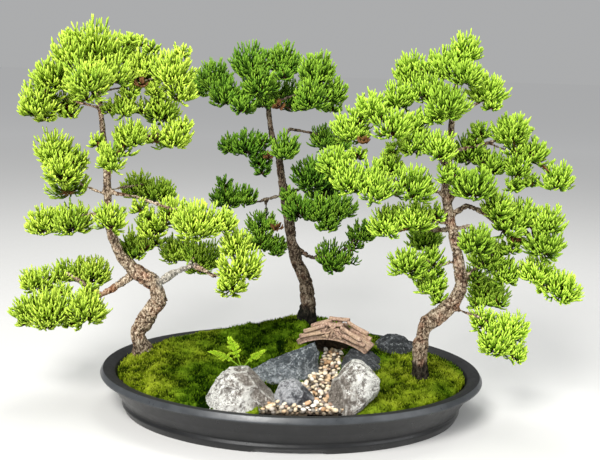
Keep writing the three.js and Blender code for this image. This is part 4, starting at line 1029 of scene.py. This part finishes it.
def sprigs(middle, ways, length, tone, rng):
    """Flat fans that rise from below a middle: bent stems, with blunt cords to either side that curve along
    and up."""
    count = len(ways)
    reach = length[:, None]
    root = middle - UP * ROOT_DROP * np.median(length)
    ends = middle + ways * reach
    ends = ends + UP * (rng.uniform(-0.04, 0.05, count) * length)[:, None]
    level = ways * (1, 1, 0)
    lie = 0.7 * level + UP * (0.4 * ways[:, 2:3] - 0.3 * np.linalg.norm(level, axis=1, keepdims=True))
    bends = 0.5 * (middle + root) + (lie + rng.normal(0, 0.06, (count, 3))) * reach
    tones = np.full(count, DRY_TONE)
    if tone > DRY_TONE:
        tones = np.clip(tone + rng.normal(0, 0.16, count), 0, 1)
    stem = root + ways * (0.12 * reach), bends, ends
    stems = tubes(*stem, CORD_RADII, (0, 0.5, 0.97), 3, (0, 1), tones, rng)
    cords = 5
    order = np.arange(cords)
    t = 0.24 + 0.64 * (order + rng.uniform(0, 0.6, (count, cords))) / cords
    stem = [part[:, None] for part in stem]
    roots = on_curve(t[..., None], *stem)
    tangent = heading_on_curve(t[..., None], *stem)
    sideways = unit(np.cross(ways, UP) + rng.normal(0, 0.35, (count, 3)))
    roll = rng.uniform(-0.9, 0.9, count)[:, None]
    aside = unit(sideways * np.cos(roll) + np.cross(sideways, ways) * np.sin(roll))[:, None]
    aside = aside * np.where(order % 2, 1.0, -1.0)[:, None]
    splay = unit(tangent * 0.55 + aside * 0.85 - UP * 0.1)
    along = unit(tangent * 0.9 + aside * 0.25 + UP * 0.55)
    run = reach * (0.74 - 0.4 * t) * rng.uniform(0.75, 1.15, (count, cords))
    run = np.clip(run, 4, 12)[..., None]
    bends = roots + splay * run * 0.45
    cord = (part.reshape(-1, 3) for part in (roots, bends, bends + along * run * 0.6))
    tip_range = ((0.05 + 0.75 * t).ravel(), 1)
    tones = np.repeat(tones, cords)
    return join_shapes([stems, tubes(*cord, CORD_RADII, (0, 0.5, 0.93), 3, tip_range, tones, rng)])


def spray_shape(middle, tips, tone, rng):
    """Sprigs that fill a spray out to the tips of its cords."""
    arms = tips - middle
    reach = np.linalg.norm(arms, axis=1)
    arms = arms / reach[:, None]
    density, sharpness = 0.086, 9
    ways = turned_directions(int(density * reach.mean() ** 2), rng)
    likeness = ways @ arms.T
    weight = np.exp(sharpness * likeness)
    length = (weight * reach).sum(axis=1) / weight.sum(axis=1)
    below = np.clip(-ways[:, 2] - 0.2, 0, 1)
    length = length * (1 - 0.2 * below) * rng.uniform(0.74, 1.06, len(length))
    grown = (likeness.max(axis=1) > 0.45) & (ways[:, 2] > -0.88)
    ways = np.concatenate([ways[grown], arms])
    length = np.concatenate([length[grown], 0.94 * reach])
    return sprigs(middle, ways, length, tone, rng)


def behind_pixel(across, down, y):
    """The point y deep that shows at a pixel of the photo, to a tenth and then a whole millimetre."""
    right = across - PHOTO_WIDTH / 2
    below = down - PHOTO_HEIGHT / 2
    lean, pitch = math.radians(LEANS), math.radians(LOOKS_DOWN)
    level = right * math.cos(lean) + below * math.sin(lean)
    drop = below * math.cos(lean) - right * math.sin(lean)
    ahead = FOCAL_PIXELS * math.cos(pitch) - drop * math.sin(pitch)
    rise = -FOCAL_PIXELS * math.sin(pitch) - drop * math.cos(pitch)
    sight = np.array([level, ahead, rise])
    point = CAMERA_PLACE + (y - CAMERA_PLACE[1]) / ahead * sight
    return np.round(np.round(point, 1))


def filling_spray(x, y, z, half_width, half_height, arms=8):
    """A spray of the filling, as its middle and the tips that it reaches out to."""
    middle = np.array([x, y, z], float)
    return middle, middle + even_directions(arms) * (half_width, 0.85 * half_width, half_height)


def make_foliage(pad, material, slot, tone, seed):
    """A pad's sprays, and between each and its nearest a twig, with more sprigs where they are far apart."""
    rng = np.random.default_rng(seed)
    sunlit_shift, filling, dry = PADS.get(pad, (0, [], []))
    # The pad's shift in painted light, towards its tree's sunlit or shaded green.
    tone = tone + sunlit_shift
    green = sprays_of(f"foliage_{pad}")
    for across, down, y, half_width, half_height in filling:
        green.append(filling_spray(*behind_pixel(across, down, y), half_width, half_height))
    dead = [filling_spray(*row, arms=5) for row in dry]
    sprays = [(middle - SAG * UP, tips - SAG * UP) for middle, tips in green + dead]
    tones = [tone + rng.normal(0, 0.09) for _ in green] + [DRY_TONE for _ in dead]
    middles = np.array([middle for middle, _ in sprays])
    sizes = np.array([np.median(np.linalg.norm(tips - middle, axis=1)) for middle, tips in sprays])
    shapes = [spray_shape(middle, tips, shade, rng) for (middle, tips), shade in zip(sprays, tones)]
    for index in range(1, len(middles)):
        apart = np.linalg.norm(middles[:index] - middles[index], axis=1)
        other = apart.argmin()
        halfway = (middles[index] + middles[other]) / 2
        twig = middles[other], halfway - UP * 0.1 * apart[other], middles[index]
        shapes.append(tube(*twig, (1.3, 1.1), (0, 0.33, 0.66, 1), 3, (0, 0.02), rng))
        if apart[other] < 1.05 * sizes[[index, other]].max():
            continue
        ways = turned_directions(14, rng)
        ways = ways[ways[:, 2] > -0.6]
        length = 0.85 * min(sizes[index], sizes[other]) * rng.uniform(0.8, 1.1, len(ways))
        between = halfway + UP * 0.03 * apart[other]
        shapes.append(sprigs(between, ways, length, tone + rng.normal(0, 0.08), rng))
    add_piece(f"juniper_{pad}", join_shapes(shapes), material, f"foliage_{pad}")


# Floor, light and camera


def make_stage():
    mesh = bpy.data.meshes.new("floor")
    size = 40.0
    corners = [(-size, -size, 0), (size, -size, 0), (size, size, 0), (-size, size, 0)]
    mesh.from_pydata(corners, [], [(0, 1, 2, 3)])
    floor = new_object("floor", mesh)
    n = Nodes("pale_floor")
    away = n.add("VectorMath", "Value", {0: n.place}, operation="LENGTH")
    # Painted light: the floor is paler further from the tray, so that it fades into the backdrop without a
    # line.
    paint = n.ramp(n.range(away, 0.7, 4), (0, 0.7, 0.7, 0.69), (1, 0.97, 0.97, 0.97))
    mesh.materials.append(n.finish(paint, 0.8, 0))
    world = bpy.data.worlds.new("studio")
    world.use_nodes = True
    sky = world.node_tree.nodes["Background"]
    sky.inputs["Color"].default_value = (0.98, 0.99, 1.0, 1)
    sky.inputs["Strength"].default_value = 0.42
    scene.world = world
    scene.view_settings.view_transform = "Standard"
    lamps = [
        ("key", (-500, -1400, 1400), 700, 46, (1, 0.98, 0.95)),
        ("fill", (1300, -900, 900), 1100, 9, (0.97, 0.98, 1)),
        ("top", (100, 300, 1700), 900, 14, (1, 1, 0.98)),
        ("front", (-620, -1500, 420), 600, 7, (0.98, 0.99, 1)),
    ]
    for name, place, size, power, colour in lamps:
        light = bpy.data.lights.new(name, "AREA")
        light.size = size * MM
        light.energy = power
        light.color = colour
        lamp = new_object(name, light)
        lamp.location = placed(place)
        aim = Vector(placed((0, 0, 200))) - lamp.location
        lamp.rotation_euler = aim.to_track_quat("-Z", "Y").to_euler()


def make_camera():
    """The camera that fits the tray's rim: 1 m in front, a little above, looking slightly down."""
    sensor_width = 36
    camera = bpy.data.cameras.new("camera")
    camera.sensor_width = sensor_width
    camera.lens = sensor_width * FOCAL_PIXELS / PHOTO_WIDTH
    holder = new_object("camera", camera)
    look_down = Matrix.Rotation(math.radians(90 - LOOKS_DOWN), 4, "X")
    roll = Matrix.Rotation(math.radians(LEANS), 4, "Z")
    holder.matrix_world = Matrix.Translation(Vector(placed(CAMERA_PLACE))) @ look_down @ roll
    scene.camera = holder


make_stage()
make_camera()

make_tray()
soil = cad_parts["soil"]
soil.data.materials.clear()
soil.data.materials.append(potting_mix())
moss_material = moss_green()
make_moss("left", -1, 21, moss_material)
make_moss("right", 1, 31, moss_material)
make_gravel()

pale = stone_surface("pale_stone", [
    (0.37, 0.18, 0.17, 0.15), (0.45, 0.54, 0.53, 0.5), (0.54, 0.79, 0.79, 0.74), (0.66, 0.95, 0.95, 0.91),
], [
    (0.36, 0.035, 0.03, 0.024), (0.46, 0.15, 0.13, 0.11), (0.56, 0.31, 0.28, 0.245), (0.7, 0.64, 0.61, 0.56),
], (0.075, 0.062, 0.05))
grey = stone_surface("grey_stone", [
    (0.36, 0.08, 0.08, 0.087), (0.47, 0.28, 0.285, 0.3), (0.57, 0.5, 0.51, 0.53), (0.68, 0.8, 0.81, 0.82),
], [
    (0.36, 0.012, 0.013, 0.015), (0.48, 0.05, 0.053, 0.06), (0.6, 0.17, 0.175, 0.19), (0.72, 0.5, 0.51, 0.53),
], (0.025, 0.025, 0.03))
slate = stone_surface("dark_slate", [
    (0.38, 0.055, 0.065, 0.072), (0.5, 0.15, 0.17, 0.185), (0.6, 0.34, 0.37, 0.39), (0.72, 0.68, 0.72, 0.74),
], [
    (0.38, 0.014, 0.018, 0.022), (0.5, 0.05, 0.06, 0.068), (0.62, 0.14, 0.165, 0.18), (0.74, 0.36, 0.4, 0.42),
], (0.03, 0.037, 0.042), (0.66, 0.7, 0.72), 0.65)
black = stone_surface("black_rock", [
    (0.38, 0.017, 0.02, 0.022), (0.52, 0.046, 0.05, 0.055), (0.64, 0.11, 0.12, 0.132),
    (0.76, 0.42, 0.44, 0.46),
], [
    (0.38, 0.007, 0.009, 0.01), (0.54, 0.02, 0.024, 0.027), (0.68, 0.07, 0.08, 0.088),
    (0.8, 0.34, 0.36, 0.38),
], (0.012, 0.014, 0.016), (0.5, 0.53, 0.55), 0.45)
make_stone("stone_front_left", pale, 60, 0.8, 8, 1.22, [
    (-1, -0.1, 0.1, 0.94), (-0.5, -0.1, 0.86, 0.76), (0.82, 0, 0.58, 0.6), (-0.3, -0.85, 0.42, 0.76),
    (0.6, -0.78, 0.15, 0.9), (0.25, -0.5, 0.82, 0.68), (-0.8, -0.55, 0.2, 0.84), (0.1, 0, 1, 0.71),
], (0.85, -0.1, 0.35))
make_stone("stone_front_right", pale, 65, 0.6, 7, 1.1, [
    (-0.7, 0, 0.7, 0.68), (-0.86, -0.5, 0.05, 0.74), (0.35, -0.9, 0.2, 0.84), (0.6, -0.1, 0.8, 0.84),
    (-0.2, -0.8, 0.56, 0.78), (0.7, -0.3, -0.6, 0.86), (0.05, 0, 1, 0.93),
], (-0.95, -0.2, -0.25))
make_stone("stone_front_middle", grey, 70, 0.7, 8, 1.12, [
    (-0.5, -0.5, 0.7, 0.66), (-0.95, -0.2, 0.2, 0.88), (0.68, -0.2, 0.66, 0.6), (0.6, -0.78, 0.1, 0.76),
    (0.3, -0.75, 0.6, 0.72), (-0.1, -0.98, 0.1, 0.86), (0, 0, 1, 0.86),
], (0.75, -0.3, -0.6))
make_stone("stone_slate_blade", slate, 75, 0.6, 0, 1.12, [
    (-0.2, -0.42, 0.88, 0.56), (0.1, -0.99, 0.05, 0.88), (-0.7, -0.68, 0.2, 0.9), (-0.5, -0.1, 0.86, 0.62),
    (0.9, -0.4, 0.15, 0.93), (0.34, -0.89, 0.32, 0.7),
], (0, 0.35, 0.93))
make_stone("stone_under_bridge", black, 80, 0.25, 2, 1.15, [
    (-0.12, -0.72, 0.68, 0.6), (-0.9, -0.2, 0.35, 0.8), (0.1, -0.98, -0.1, 0.82), (0.8, -0.1, 0.6, 0.8),
], (0.5, 0.2, -0.8))
make_stone("stone_back_right", black, 85, 0.7, 6, 1.12, [
    (-0.5, -0.35, 0.78, 0.7), (0.55, -0.45, 0.7, 0.68), (0, -0.95, 0.2, 0.82), (0.1, 0.2, 0.97, 0.82),
    (-0.2, -0.75, 0.62, 0.74),
], (0.1, -0.75, 0.55))
make_bridge()
make_fern()

# The middle tree's dark copy of the bark is painted shade.
pale_bark = juniper_bark("pale_bark", 1.14)
brown_bark = juniper_bark("brown_bark", 0.88)
shaded_bark = juniper_bark("shaded_bark", 0.37)
make_trunk("left", 100, pale_bark, 0.5, orange_limb=ORANGE_LIMB, silver_limb=SILVER_LIMB)
make_trunk("middle", 110, shaded_bark, 1)
make_trunk("right", 120, brown_bark, 0.95, slimmer=2.2)
shade_of_green = ((0.015, 0.042, 0.003), (0.1, 0.21, 0.008), (0.31, 0.52, 0.04))
left_green = ((0.04, 0.085, 0.005), (0.32, 0.5, 0.016), (0.78, 0.97, 0.12))
right_green = ((0.03, 0.08, 0.004), (0.25, 0.48, 0.014), (0.72, 0.98, 0.11))
deep_green = ((0.008, 0.028, 0.002), (0.036, 0.11, 0.005), (0.13, 0.3, 0.02))
lively_green = ((0.014, 0.048, 0.003), (0.085, 0.2, 0.008), (0.45, 0.71, 0.06))
# Each tree's material, slot and how sunlit its green is painted overall, from its shaded palette to its
# sunlit one.
greens = {
    "left": (juniper_green("bright_green_left", shade_of_green, left_green), "bright_foliage", 0.55),
    "middle": (juniper_green("deep_green", deep_green, lively_green), "deep_foliage", 0.33),
    "right": (juniper_green("bright_green_right", shade_of_green, right_green), "bright_foliage", 0.44),
}
pads = sorted(name.removeprefix("foliage_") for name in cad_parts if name.startswith("foliage_"))
for index, pad in enumerate(pads):
    make_foliage(pad, *greens[pad.split("_")[0]], 500 + index)
